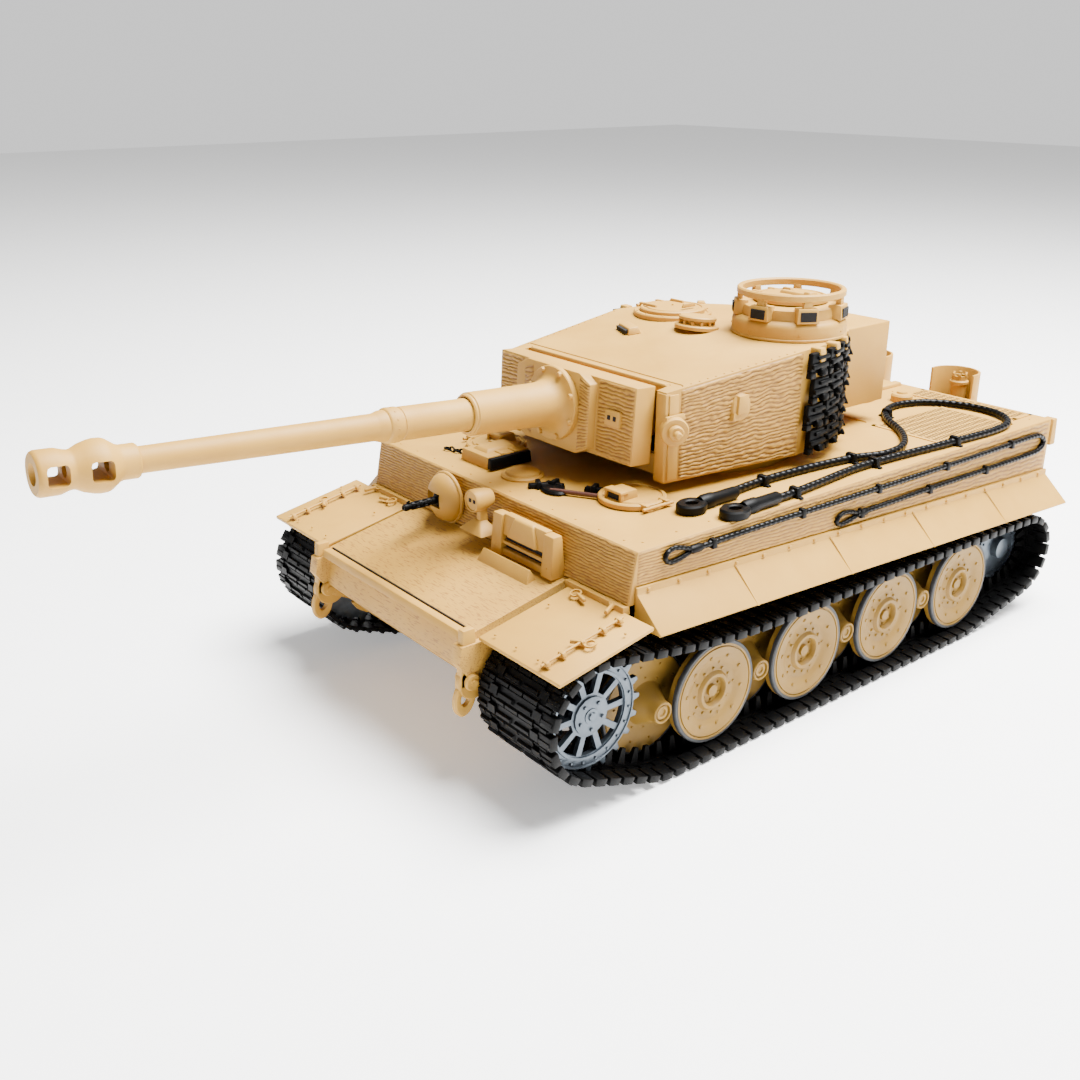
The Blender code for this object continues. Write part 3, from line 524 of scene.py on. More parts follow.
# From the sprocket the top run sags on to the third wheel, and lies flat from there.
start, end = pin_line[-1], Vector((THIRD_AXLE[0], THIRD_AXLE[1] + wheel_line))
for i in range(1, 30):
    t = i / 30
    sag = start.y * (1 - t) ** 2 * (1 + 2 * t) + end.y * t**2 * (3 - 2 * t)
    slope = -math.tan(math.radians(10)) * (end.x - start.x) * t * (1 - t) ** 2
    pin_line.append(Vector((start.x + (end.x - start.x) * t, sag + slope)))
pin_line += [end, Vector((LAST_AXLE[0], LAST_AXLE[1] + wheel_line))]
pin_line += along_arc(IDLER_AXLE, idler_line, 88, -90 + rear_climb, 50)
pin_line += along_arc(LAST_AXLE, wheel_line, -90 + rear_climb, -90, 12)
lengths = [0.0]
for a, b in zip(pin_line, pin_line[1:] + pin_line[:1]):
    lengths.append(lengths[-1] + (b - a).length)
pitch = lengths[-1] / LINKS


def pin_at(distance):
    """The point of the pins' line this far along it."""
    distance %= lengths[-1]
    i = next(k for k in range(len(pin_line)) if lengths[k + 1] >= distance)
    a, b = pin_line[i], pin_line[(i + 1) % len(pin_line)]
    return a.lerp(b, (distance - lengths[i]) / max(lengths[i + 1] - lengths[i], 1e-9))


# A pin lies midway between two teeth, at 189 degrees round the sprocket.
gap_angle = math.radians(189)
between_teeth = Vector(SPROCKET_AXLE) + sprocket_line * Vector((math.cos(gap_angle), math.sin(gap_angle)))
nearest = min(range(len(pin_line)), key=lambda k: (pin_line[k] - between_teeth).length)
run_on = (pin_line[nearest + 1] - pin_line[nearest]).normalized()
first_pin = lengths[nearest] + (between_teeth - pin_line[nearest]).dot(run_on)

half = pitch / 2
link_parts = []
for low_x, high_x in ((74.0, 78.8), (102.0, 107.0)):
    # A bridge covers each sprocket tooth's slot, and the web is closed before and behind it.
    link_parts.append(block("bridge", (low_x, -1.9, 2.0), (high_x, 2.1, 4.2), (1, 0.9)))
    link_parts.append(block("web", (low_x, -half + 0.1, 1.3), (high_x, -1.6, 2.3)))
    link_parts.append(block("web", (low_x, 1.6, 1.3), (high_x, half - 0.1, 2.3)))
link_parts.append(block("end", (106.7, -half + 0.9, 0.2), (114.8, half - 0.8, 3.7), (0.98, 0.9), 0.3))
for low_x, high_x in ((65.6, 74.3), (78.5, 102.3), (106.7, 111.0)):
    link_parts.append(block("pad", (low_x, -half + 1.0, 0.9), (high_x, half - 0.9, 2.9), (0.97, 0.86)))
    link_parts.append(block("web", (low_x, -half + 0.1, 1.3), (high_x, half - 0.1, 2.2)))
for low_x, high_x, low_y in (
    (66.2, 73.4, -1.6), (79.4, 89.0, -2.0), (91.0, 101.4, -2.0), (107.0, 114.0, -1.6),
):  # fmt: skip
    link_parts.append(block("bar", (low_x, low_y, 2.6), (high_x, low_y + 2.4, 4.2), (0.9, 0.55)))
for middle_x in (88.2, 99.5):
    horn = block("horn", (middle_x - 1.6, -2.2, -1.6), (middle_x + 1.6, 2.2, 6.0), (0.45, 0.5))
    link_parts.append(moved(horn, stretched(1, 1, -1)))
for low_x, high_x, radius in (
    (66.0, 70.2, 1.35), (71.0, 74.3, 1.35), (78.5, 83.5, 1.35), (84.5, 92.5, 1.35), (93.5, 102.2, 1.35),
    (106.8, 110.9, 1.35), (65.6, 111.6, 0.75),
):  # fmt: skip
    deselect()
    bpy.ops.mesh.primitive_cylinder_add(vertices=6, radius=radius * MM, depth=(high_x - low_x) * MM)
    eye_barrel = bpy.context.object
    link_parts.append(moved(eye_barrel, shifted((low_x + high_x) / 2, half, PIN_HEIGHT) @ to_side))
link = painted(joined("link", link_parts), nylon)

for side, sign in (("left", 1), ("right", -1)):
    links = []
    for i in range(LINKS):
        a, b = pin_at(first_pin + i * pitch), pin_at(first_pin + (i + 1) * pitch)
        ahead = (b - a).normalized()
        outward = Vector((-ahead.y, ahead.x))
        middle = (a + b) / 2 - outward * PIN_HEIGHT
        frame_of_link = Matrix((
            (1, 0, 0, 0),
            (0, ahead.x, outward.x, middle.x * MM + HULL_MIDDLE_Y),
            (0, ahead.y, outward.y, middle.y * MM),
            (0, 0, 0, 1),
        ))  # fmt: skip
        links.append(copy_of(link, "link", handed(sign) @ frame_of_link))
    fitted(joined("track_links_" + side, links), "hull", "track_plastic", "track_" + side)
bpy.data.objects.remove(link)


# Ribbed coating -------------------------------------------------------------------------------
# The paste trowelled on the front plate, hull sides, turret sides and mantlet, moulded here in the
# same ABS: broken, wavy horizontal ridges, 1.35 to 1.75 mm apart and 0.65 to 1.15 mm high.
# The ridged coatings carry painted shade in their creases.
sand_ridged = sand_paint("sprayed_sand_abs_ridged_crease_shaded", painted_crease_shade=True)


def coat(name, corners, body, ridge=1.75, height=1.0, seed=0.0, wander=1.0):
    """A ribbed sheet over a flat quad in mm, its corners anticlockwise from outside, low edge first."""
    a, b, c, d = [Vector(corner) for corner in corners]
    out = (b - a).cross(d - a).normalized()
    across = max(4, round((b - a).length / 0.95))
    up = max(4, round((d - a).length / 0.3))
    deselect()
    bpy.ops.mesh.primitive_grid_add(x_subdivisions=across, y_subdivisions=up, size=1)
    piece = bpy.context.object
    piece.name = name
    painted_crease_shade = []
    for vertex in piece.data.vertices:
        u, v = vertex.co.x + 0.5, vertex.co.y + 0.5
        spot = (a.lerp(b, u)).lerp(d.lerp(c, u), v)
        along, rise = u * (b - a).length, v * (d - a).length
        wave = noise.noise((along / 8, rise / 6, seed)) * 0.7
        wave += noise.noise((along / 2.2, rise / 1.6, seed + 9)) * 0.3
        wave *= wander
        row = rise / ridge + wave
        crest = abs(math.sin(math.pi * row)) ** 0.6
        broken = noise.noise((along / 3.2 + 17 * math.floor(row), math.floor(row) * 3.7, seed + 3))
        # Painted shade: how far into a crease each point lies, which darkens its colour there.
        painted_crease_shade.append(min(1.0, 1.1 * (1 - crest) + 0.4 * max(0.0, -broken)))
        lift = height * (crest * (0.72 + 0.5 * broken) + 0.12 * noise.noise((along, rise, seed + 5)))
        edge = u < 1e-6 or v < 1e-6 or u > 1 - 1e-6 or v > 1 - 1e-6
        # The sheet's rim dips under the plate, so no gap shows along it.
        spot += out * (-0.25 if edge else max(lift, 0.02))
        vertex.co = spot * MM
    depth = piece.data.attributes.new("crease_shade_share", "FLOAT", "POINT")
    depth.data.foreach_set("value", painted_crease_shade)
    moved(piece, Matrix.Translation((0, HULL_MIDDLE_Y, 0)))
    bpy.ops.object.shade_smooth()
    painted(piece, sand_ridged)
    return fitted(piece, body, "sand_plastic")


ROOF, ROOF_BEND = 161.0, 8  # the turret roof's height, and the Y before which it slopes down


def roof_height(y):
    return ROOF + 0.114 * min(y - ROOF_BEND, 0)


coat("front_plate_coating", [
    (-98.4, -131.4, 80.9), (98.4, -131.4, 80.9), (98.4, -127.1, 103.2), (-98.4, -127.1, 103.2),
], "hull", ridge=1.35, height=0.75, wander=0.6)  # fmt: skip
coat("hull_side_coating_left", [
    (98.8, -127.6, 88.4), (98.8, 184, 75.2), (98.8, 184, 103.2), (98.8, -127.0, 103.2),
], "hull", ridge=1.35, height=0.65, wander=0.6, seed=21)  # fmt: skip
coat("hull_side_coating_right", [
    (-98.8, 184, 75.2), (-98.8, -127.6, 88.4), (-98.8, -127.0, 103.2), (-98.8, 184, 103.2),
], "hull", ridge=1.35, height=0.65, wander=0.6, seed=33)  # fmt: skip
TURRET_FOOT = 110  # the height of its lower edge
front_top, rear_top = roof_height(-64.5) - 0.8, roof_height(ROOF_BEND) - 0.8
coat("turret_side_coating_left", [
    (57.5, -64.5, TURRET_FOOT), (66.0, ROOF_BEND, TURRET_FOOT), (66.0, ROOF_BEND, rear_top),
    (57.5, -64.5, front_top),
], "turret", height=1.15, seed=41)  # fmt: skip
coat("turret_side_coating_right", [
    (-66.0, ROOF_BEND, TURRET_FOOT), (-57.5, -64.5, TURRET_FOOT), (-57.5, -64.5, front_top),
    (-66.0, ROOF_BEND, rear_top),
], "turret", height=1.15, seed=57)  # fmt: skip


# Turret shell ---------------------------------------------------------------------------------
# A horseshoe of bent plate with a roof that slopes to the front; one ABS moulding with its fittings
# glued on. Rivet heads run along the roof's edge.
broken_edges("turret_shell", 0.5, sand)


def part_at(low, high, top=(1, 1), bevel=0.0, turn=None):
    """A block given in hull millimetres, turned about its own middle if asked."""
    piece = block("part", low, high, top, bevel)
    if turn:
        middle = [(a + b) / 2 * MM for a, b in zip(low, high)]
        place = Matrix.Translation(middle) @ turned_by(*turn) @ Matrix.Translation([-c for c in middle])
        moved(piece, place)
    return moved(piece, Matrix.Translation((0, HULL_MIDDLE_Y, 0)))


def row_of(piece, spots):
    """Copies of a piece at the spots, in hull millimetres, and the first one itself removed."""
    row = [copy_of(piece, "row", in_hull(*spot)) for spot in spots]
    bpy.data.objects.remove(piece)
    return row


def on_turret(name, pieces, material=sand, slot="sand_plastic"):
    return fitted(painted(joined(name, pieces), material), "turret", slot)


edge_spots = [(x, -64.0, roof_height(-64.0)) for x in range(-50, 51, 5)]
for i in range(15):
    y = -62 + 4.7 * i
    half_width = 56.5 + 9.5 * (y + 72.5) / 80.5 - 1.8
    edge_spots += [(half_width, y, roof_height(y)), (-half_width, y, roof_height(y))]
on_turret("roof_rivets", row_of(domed_bolt(0.45, 0.4), edge_spots))

bar = part_at((-49, -66.5, 151.7), (49, -63.2, 153.2), (0.995, 0.7), 0.3)
lip = part_at((-55.5, -61.6, 152.9), (55.5, -60.6, 153.6), (0.995, 0.6), 0.15)
on_turret("roof_front_bar", [bar, lip])

pillars = []
for sign in (1, -1):
    pillar = part_at((50.6, -73.6, 110.5), (57.2, -66.0, 151.2), (0.96, 0.9), 0.7)
    strip = part_at((56.3, -71.6, 111), (58.2, -65.6, 150.6), (0.6, 0.95), 0.4)
    pillars += [moved(pillar, handed(sign)), moved(strip, handed(sign))]
on_turret("cheek_pillars", pillars)

# The stepped round plug on the left cheek's corner, and the raised square boss behind it.
plug = spun("plug", [
    (0, 0), (6.6, 0), (6.6, 3.6), (6.0, 4.6), (3.6, 4.6), (3.6, 6.4), (3.0, 7.2), (1.7, 7.2), (1.7, 10.0),
    (1.2, 10.6), (0, 10.6),
])  # fmt: skip
moved(plug, in_hull(57.6, -69.0, 134.5) @ turned_by(-28, "Z") @ to_side)
bracket = part_at((57.0, -74.5, 138.5), (59.4, -62.5, 141.5), (0.7, 0.95), 0.5)
boss = part_at((59.5, -34, 136.5), (64.8, -26.5, 145.5), (0.92, 0.86), 0.7)
step = part_at((59.5, -36, 133.5), (63.8, -31, 137.5), (0.9, 0.8), 0.6)
port = spun("port", [(0, -1.0), (6.6, -1.0), (6.6, 0.9), (6.0, 1.6), (4.9, 1.9), (0, 2.0)], 40)
moved(port, in_hull(61.8, -30.2, 139.5) @ turned_by(-6.7, "Z") @ to_side @ stretched(1, 0.86))
on_turret("cheek_fittings", [plug, bracket, boss, step, port])

# The fan's mushroom cover, with a dark slot all round under its cap.
vent = spun("vent", [
    (0, -0.4), (11.4, -0.4), (11.4, 1.2), (10.8, 1.8), (9.3, 1.8), (9.3, 2.2), (8.0, 2.2), (8.0, 4.2),
    (9.6, 4.2), (9.6, 5.6), (8.9, 6.2), (0, 6.6),
])  # fmt: skip
at_fan = in_hull(-3, 6, ROOF)
moved(vent, at_fan @ turned_by(-6, "X"))
ribs = around(block("rib", (7.6, -0.6, 2.0), (9.4, 0.6, 4.4)), 12)
on_turret("roof_fan_cover", [vent] + [moved(rib, at_fan) for rib in ribs])

guard = block("guard", (-8.5, -3.6, -0.4), (8.5, 3.6, 3.2), (0.86, 0.72), 0.5)
slit = block("slit", (-6.8, -4.4, 0.6), (6.8, -2.0, 2.2))
at_periscope = in_hull(-29, -17, 158.2) @ turned_by(-22, "Z") @ turned_by(6.5, "X")
on_turret("loader_periscope_guard", [moved(guard, at_periscope)])

# Painted shade: a flat near-black standing for the inside of a moulded recess that no light reaches;
# a slight grain keeps it from looking cut out.
shade, _ = mottled("unlit_recess", "#040303", "#090706", 900, 2, 0.95)
# Painted shade: the slit under the guard is a dark block of the unlit black.
on_turret("loader_periscope_slit", [moved(slit, at_periscope)], shade)


# Commander's cupola ---------------------------------------------------------------------------
# A drum bolted to the roof with seven periscope hoods round its top and a rail above them.
drum = spun("drum", [
    (17, 161.3), (17, 176.6), (20.5, 176.6), (23.6, 175.4), (24.4, 172.6), (24.4, 170.6), (27.3, 169.6),
    (28.2, 168.6), (28.5, 167.4), (28.5, 162.6), (28.9, 162.2), (28.9, 161.3),
], 72)  # fmt: skip
rail = spun("rail", [
    (24.1, 180.2), (24.1, 183.1), (24.7, 183.7), (26.3, 183.7), (26.9, 183.1), (26.9, 180.8), (26.3, 180.2),
], 72)  # fmt: skip
hoods = around(block("hood", (20.5, -5.6, 170.2), (28.4, 5.6, 177.4), (0.84, 0.9), 0.5), 7, 20)
posts = around(block("post", (23.8, -2.4, 176.6), (26.6, 2.4, 180.8), (0.95, 0.8), 0.3), 7, 20)
bolts = around(moved(domed_bolt(0.4, 0.4), shifted(x=28.6, z=164.8) @ to_side), 7, 12)
CUPOLA = (32, 36)  # its middle, X and Y
at_cupola = in_hull(*CUPOLA, 0)
cupola_parts = [drum, rail, *hoods, *posts, *bolts]
for part in cupola_parts:
    moved(part, at_cupola)
fitted(painted(joined("cupola_drum", cupola_parts), sand), "turret", "sand_plastic", "cupola")
# Painted shade: the periscope panes in the hoods are dark blocks of the unlit black.
panes = around(block("pane", (27.2, -3.9, 171.3), (28.7, 3.9, 175.8)), 7, 20)
for pane in panes:
    moved(pane, at_cupola)
on_turret("cupola_periscopes", panes, shade)


# Hatches --------------------------------------------------------------------------------------
# Round pressed lids with a raised rim, hinge eyes and a spring arm. The commander's and loader's ride their
# own bodies on their pins; the driver's and radio operator's ride the hull.
def lid(node, centre, radius, low, thick, turn, body, extras=()):
    """A pressed round lid with a stepped top, two hinge eyes and any extra parts, in hull millimetres."""
    high = low + thick
    plate = spun("lid", [
        (0, low), (radius, low), (radius, high - 0.5), (radius - 0.6, high), (radius - 1.8, high),
        (radius - 2.1, high - 0.5), (radius - 3.0, high - 0.5), (radius - 3.5, high + 0.15), (0, high + 0.5),
    ], 56)  # fmt: skip
    reach = radius + 1.6
    parts = [plate]
    for offset in (-6, 6):
        corners = (radius - 4, offset - 1.4, low + 0.2), (reach, offset + 1.4, high + 0.4)
        parts.append(block("ear", *corners, (0.96, 0.8), 0.3))
    pin = spun("pin", [(0, -9), (0.8, -9), (0.8, 9), (0, 9)], 12)
    parts.append(moved(pin, shifted(x=reach - 0.4, z=low + thick / 2) @ turned_by(90, "X")))
    parts += list(extras)
    for part in parts:
        moved(part, in_hull(centre[0], centre[1], 0) @ turned_by(turn, "Z"))
    return fitted(painted(joined(node + "_lid", parts), sand), body, "sand_plastic", node)


arm = [
    block("arm", (-14, -2.4, 179.6), (6, 2.4, 181.4), (0.96, 0.6), 0.4),
    block("arm_foot", (-15, -3.6, 179.4), (-9, 3.6, 182.6), (0.6, 0.7), 0.5),
    block("arm_catch", (2, -5, 179.5), (9, -2.6, 182.0), (0.7, 0.8), 0.3),
]
lid("commander_hatch", CUPOLA, 18.5, 177.3, 2.3, 180, "commander_hatch", arm)
handle = [
    block("grip", (-12.5, -5, 166.3), (-11.2, 5, 168.6), (0.8, 0.75), 0.35),
    moved(domed_bolt(0.7, 0.8), shifted(0, 0, 165.6)),
    block("strut", (2, -11, 165.2), (12, -9.2, 166.6), (0.94, 0.7), 0.3),
    block("strut", (2, 9.2, 165.2), (12, 11, 166.6), (0.94, 0.7), 0.3),
]
LOADER = (-37, 22)  # the hatch's middle, X and Y
lid("loader_hatch", LOADER, 17.5, 162.9, 2.2, 180, "loader_hatch", handle)
rim = spun("rim", [
    (18.1, 160.8), (20.9, 160.8), (20.9, 162.6), (20.4, 163.2), (18.5, 163.2), (18.1, 162.8),
], 56)  # fmt: skip
studs = around(moved(domed_bolt(0.5, 0.6), shifted(x=19.5, z=163.1)), 12)
on_turret("loader_hatch_rim", [moved(part, in_hull(*LOADER, 0)) for part in (rim, *studs)])
for node, side in (("driver_hatch", 1), ("radio_hatch", -1)):
    hood = [
        block("hood", (-6, -5.5, 105.8), (4, 5.5, 110.6), (0.84, 0.9), 0.5),
        block("brow", (-7.2, -5.8, 109.6), (-2, 5.8, 110.9), (0.9, 0.95), 0.3),
        block("cheek", (-7.0, -5.6, 105.8), (-5, -4.0, 110.2), (0.9, 0.95), 0.3),
        block("cheek", (-7.0, 4.0, 105.8), (-5, 5.6, 110.2), (0.9, 0.95), 0.3),
    ]
    if side > 0:
        # Painted shade: a dark block under the hood, where its slot would be unlit.
        opening = part_at((47.8, -98.0, 106.7), (55.0, -97.0, 109.5))
        opening.name = "opening"
        fitted(painted(opening, shade), "hull", "sand_plastic")
    for part in hood:
        moved(part, shifted(y=-5) @ turned_by(90 * side, "Z"))
    lid(node, (side * 51.4, -86.7), 15.6, 104.1, 2.4, 0 if side > 0 else 180, "hull", hood)


# Spare links ----------------------------------------------------------------------------------
# Four columns of black track links on each rear quarter, hung from sand-coloured hooks at the roof.
WALL_X, WALL_Y = 66, 70  # half the turret's width, and how far its rounded rear reaches back
for side, sign in (("left", 1), ("right", -1)):
    parts, hooks = [], []
    for column in range(4):
        angle = math.radians(6.5 + 12.2 * column)
        middle = Vector((WALL_X * math.cos(angle), ROOF_BEND + WALL_Y * math.sin(angle), 0))
        facing = math.degrees(math.atan2(WALL_X * math.sin(angle), WALL_Y * math.cos(angle)))
        face = handed(sign) @ in_hull(middle.x, middle.y, 0) @ turned_by(facing, "Z")
        grown = face @ shifted(z=-15.5) @ stretched(1.25, 1.26, 1.13)
        for row in range(4):
            low = 111.5 + 11.3 * row
            jog = 1.3 * (-1) ** row
            for piece in (
                block("plate", (1.3, -5.2 + jog, low + 1.2), (3.6, 5.2 + jog, low + 10.0), (1, 0.92), 0.4),
                block("rib", (3.2, -5.6 + jog, low + 3.6), (5.0, 4.6 + jog, low + 5.6), (0.7, 0.96), 0.3),
                block("rib", (3.2, -2.0 + jog, low + 7.2), (4.8, 5.4 + jog, low + 8.8), (0.7, 0.96), 0.3),
                block("eye", (1.6, -6.0 + jog, low - 0.6), (4.2, -2.4 + jog, low + 2.2), (0.9, 0.9), 0.4),
                block("eye", (1.6, 1.6 + jog, low - 0.6), (4.2, 5.6 + jog, low + 2.2), (0.9, 0.9), 0.4),
                block("tooth", (3.0, -1.2 + jog, low + 1.0), (6.4, 1.2 + jog, low + 3.4), (0.4, 0.8), 0.3),
            ):
                parts.append(moved(piece, grown))
        for piece in (
            block("hook", (-1.5, -2.6, 158.6), (5.2, 2.6, 161.9), (0.88, 0.8), 0.5),
            block("hook_end", (3.0, -1.9, 155.4), (5.4, 1.9, 159.6), (0.8, 0.9), 0.4),
        ):
            hooks.append(moved(piece, face))
    link_set = painted(joined("spare_links_" + side, parts), nylon)
    fitted(link_set, "turret", "track_plastic", "spare_tracks_" + side)
    on_turret("spare_link_hooks_" + side, hooks)


# Gun ------------------------------------------------------------------------------------------
# Mantlet, bolted sleeve, tapered barrel and ported muzzle brake, turned or moulded in ABS. Drawn
# along the bore from the trunnion, and lifted with it to its rest elevation.
broken_edges("mantlet", 0.9, sand)
TRUNNION, REST_LIFT = (0, -62, 137), 3.4  # the pin the gun tips on, and its angle at rest
at_trunnion = in_hull(*TRUNNION) @ turned_by(-REST_LIFT, "X")
along_bore = at_trunnion @ turned_by(90, "X")  # Z runs to the muzzle


def cut_away(piece, cutter):
    """Takes the cutter's shape out of the piece, and the cutter itself away."""
    cut = piece.modifiers.new("cut", "BOOLEAN")
    cut.operation = "DIFFERENCE"
    cut.solver = "EXACT"
    cut.object = cutter
    deselect()
    piece.select_set(True)
    bpy.context.view_layer.objects.active = piece
    bpy.ops.object.modifier_apply(modifier="cut")
    bpy.data.objects.remove(cutter)


def on_gun(name, pieces, body, *nodes):
    for piece in pieces:
        moved(piece, along_bore)
    return fitted(painted(joined(name, pieces), sand), body, "sand_plastic", *nodes)


sleeve = spun("sleeve", [
    (7.9, 28.2), (7.9, 80), (8.7, 80), (9.2, 79.4), (9.3, 78.6), (9.8, 78.2), (10.0, 60), (10.3, 40),
    (10.7, 36.5), (11.6, 33.6), (13.2, 31.9), (14.6, 31.3), (17.2, 31.0), (17.6, 30.5), (17.6, 28.2),
], 72)  # fmt: skip
flange_bolts = around(moved(domed_bolt(1.5, 1.7), shifted(x=15.9, z=30.9)), 8, 22.5)
on_gun("sleeve_and_flange", [sleeve, *flange_bolts], "gun_mount", "barrel_sleeve")
tube = spun("tube", [
    (3.2, 4), (7.3, 4), (7.4, 114.6), (7.1, 114.9), (7.1, 115.5), (7.6, 115.8), (7.7, 116.4),
    (7.7, 121.2), (7.3, 121.9), (6.9, 122.2), (6.8, 124.2), (6.1, 126.6), (5.9, 127.6), (5.15, 227.2),
    (5.0, 228.2), (3.2, 228.2),
], 72)  # fmt: skip
collar_pins = around(moved(domed_bolt(0.45, 0.5), shifted(x=7.5, z=118.8) @ to_side), 12)
on_gun("barrel_tube", [tube, *collar_pins], "gun_tube", "gun_barrel")
brake = spun("brake", [
    (2.7, 228.5), (6.3, 228.5), (6.7, 229.1), (6.7, 234.6), (7.1, 236.0), (9.6, 239.6), (10.1, 241.0),
    (10.2, 243.4), (9.9, 245.6), (8.9, 249.0), (7.5, 251.8), (7.3, 253.0), (7.6, 254.6), (8.5, 257.4),
    (8.6, 258.6), (8.6, 264.4), (8.2, 265.4), (7.6, 265.9), (4.2, 265.9), (3.4, 264.6), (2.7, 262.0),
], 72)  # fmt: skip
for start in (239.6, 254.8):
    cut_away(brake, block("port", (-20, -3.9, start), (20, 3.9, start + 8.2), (1, 1), 1.6))
bpy.ops.object.shade_smooth_by_angle(angle=math.radians(30))
on_gun("muzzle_brake_casting", [brake], "gun_tube", "muzzle_brake")

# The mantlet's own coating, on both flanks and beside the sleeve, and the pair of sight holes in
# its left panel. The right flank's starts further out.
for label, height, seed in (("mantlet_coating_", 0.9, 60), ("mantlet_middle_coating_", 0.8, 80)):
    for side, sign in (("left", 1), ("right", -1)):
        inner = 24.6 if sign > 0 else 30.6
        corners = [(inner, -23, -19.4), (49, -23, -19.4), (49, -23, 15.4), (inner, -23, 15.4)]
        if "middle" in label:
            corners = [(16.6, -28, -19.6), (24, -28, -16.6), (24, -28, 12.6), (16.6, -28, 15.6)]
        if sign < 0:
            low_inner, low_outer, high_outer, high_inner = corners
            corners = [(-x, y, z) for x, y, z in (low_outer, low_inner, high_inner, high_outer)]
        panel = coat(label + side, corners, "gun_mount", height=height, seed=seed + sign)
        moved(panel, at_trunnion @ Matrix.Translation((0, -HULL_MIDDLE_Y, 0)))
sight = moved(block("sight_panel", (32, -25.4, -3.6), (42, -22.6, 3.4), (0.92, 1), 0.5), at_trunnion)
fitted(painted(sight, sand), "gun_mount", "sand_plastic")
# Painted shade: the sight holes are dark blocks of the unlit black.
holes = [block("hole", (x, -25.8, -1.0), (x + 1.9, -24.6, 1.2), (1, 1), 0.3) for x in (34.2, 38.0)]
fitted(painted(moved(joined("sight_holes", holes), at_trunnion), shade), "gun_mount", "sand_plastic")


# Front plate fittings -------------------------------------------------------------------------
# The driver's visor in its frame with the guard strip before it, the ball-mounted machine gun in
# its domed shield, and the hooded lamp on its bracket. ABS mouldings, the gun in black.
def on_hull(name, pieces, material=sand, slot="sand_plastic", *nodes):
    return fitted(painted(joined(name, pieces), material), "hull", slot, *nodes)


forwards = turned_by(90, "X")  # Z of a turned shape becomes the tank's front
visor_parts = [
    part_at((13.0, -138.6, 79.4), (20.8, -130.2, 99.0), (0.86, 0.62), 0.7),
    part_at((49.6, -138.6, 79.4), (57.4, -130.2, 99.0), (0.86, 0.62), 0.7),
    part_at((20.0, -136.4, 89.4), (50.4, -131.0, 99.4), (0.99, 0.7), 0.5),
    part_at((24.5, -138.4, 89.8), (46, -131.4, 99.8), (0.62, 0.5), 1.1),
    part_at((20.0, -137.0, 85.4), (50.4, -134.2, 86.9), (0.99, 0.7), 0.3),
    part_at((20.0, -137.6, 80.2), (50.4, -133.6, 83.2), (0.99, 0.7), 0.4),
]
visor_spots = [(x, -138.0 + (z - 84) * 0.1, z) for x in (16.8, 53.6) for z in (84, 94)]
visor_parts += row_of(moved(domed_bolt(0.55, 0.5), forwards), visor_spots)
on_hull("visor_frame", visor_parts, sand, "sand_plastic", "driver_visor")
# Painted shade: the visor's slit is a dark block of the unlit black.
on_hull("visor_slit", [part_at((20.6, -134.9, 82.4), (49.8, -131.2, 90.2))], shade)
on_hull("guard_strip", [part_at((11.7, -146.2, 75.4), (49.3, -138.6, 82.4), (0.9, 0.1), 0.25)])

dome = spun("dome", [
    (0, -0.6), (12.0, -0.6), (12.1, 1.0), (11.7, 2.4), (10.2, 4.5), (7.8, 6.2), (4.6, 7.2), (0, 7.5),
], 72)  # fmt: skip
cut_away(dome, block("slot", (-3.6, -9.0, 2.4), (3.6, 3.6, 12)))
rim = spun("rim", [(12.0, -0.6), (13.0, -0.6), (13.0, 0.5), (12.6, 0.9), (12.0, 0.9)], 64)
BOW_X, BOW_Z = -30.8, 91.9  # the bow gun's middle
at_bow = in_hull(BOW_X, -131.9, BOW_Z) @ forwards @ turned_by(-90, "Z")
on_hull("bow_shield_dome", [moved(p, at_bow) for p in (dome, rim)], sand, "sand_plastic", "bow_shield")
gun_ball = spun("ball", [
    (0, -4.3), (2.2, -3.8), (3.8, -2.2), (4.4, 0), (4.2, 1.6), (3.3, 2.9), (2.4, 3.6), (0, 3.8),
], 32)  # fmt: skip
gun_tube = spun("tube", [
    (0, 2), (1.9, 2), (1.9, 6), (1.5, 6.4), (1.5, 19.0), (1.75, 19.4), (1.75, 21), (1.3, 22), (0.75, 22),
    (0.75, 19), (0, 19),
], 20)  # fmt: skip
jacket = [block("sight", (-0.4, 1.2, 18.4), (0.4, 3.0, 20.0), (0.7, 0.7))]
for i in range(5):
    jacket += around(block("boss", (1.1, -0.5, 7.4 + 2.2 * i), (1.9, 0.5, 8.9 + 2.2 * i)), 6, 30 * (i % 2))
bow_parts = [moved(p, in_hull(BOW_X, -135, BOW_Z) @ forwards) for p in (gun_ball, gun_tube, *jacket)]
fitted(painted(joined("bow_gun_barrel", bow_parts), nylon), "bow_gun", "black_plastic", "bow_gun")

lamp = spun("lamp", [
    (0, -3.6), (2.2, -3.6), (4.0, -2.4), (4.8, 0), (5.3, 4.6), (5.4, 7.4), (5.0, 8.3), (4.5, 8.4),
    (4.2, 7.8), (0, 7.6),
], 48)  # fmt: skip
at_lamp = in_hull(3.4, -133.6, 101.6) @ forwards
on_hull("headlight", [
    moved(lamp, at_lamp),
    part_at((1.6, -138.0, 91.0), (5.2, -133.6, 98.6), (0.8, 0.8), 0.5),
    part_at((-6.5, -142.6, 86.0), (11.5, -130.4, 91.8), (0.28, 0.3), 0.6),
])  # fmt: skip
# Painted shade: the slots in the lamp's hood are dark blocks of the unlit black.
slots = [block("slot", (x, -0.8, 7.3), (x + 1.7, 1.0, 8.0), (1, 1), 0.2) for x in (-2.4, 0.9)]
on_hull("headlight_slots", [moved(slot, at_lamp) for slot in slots], shade)


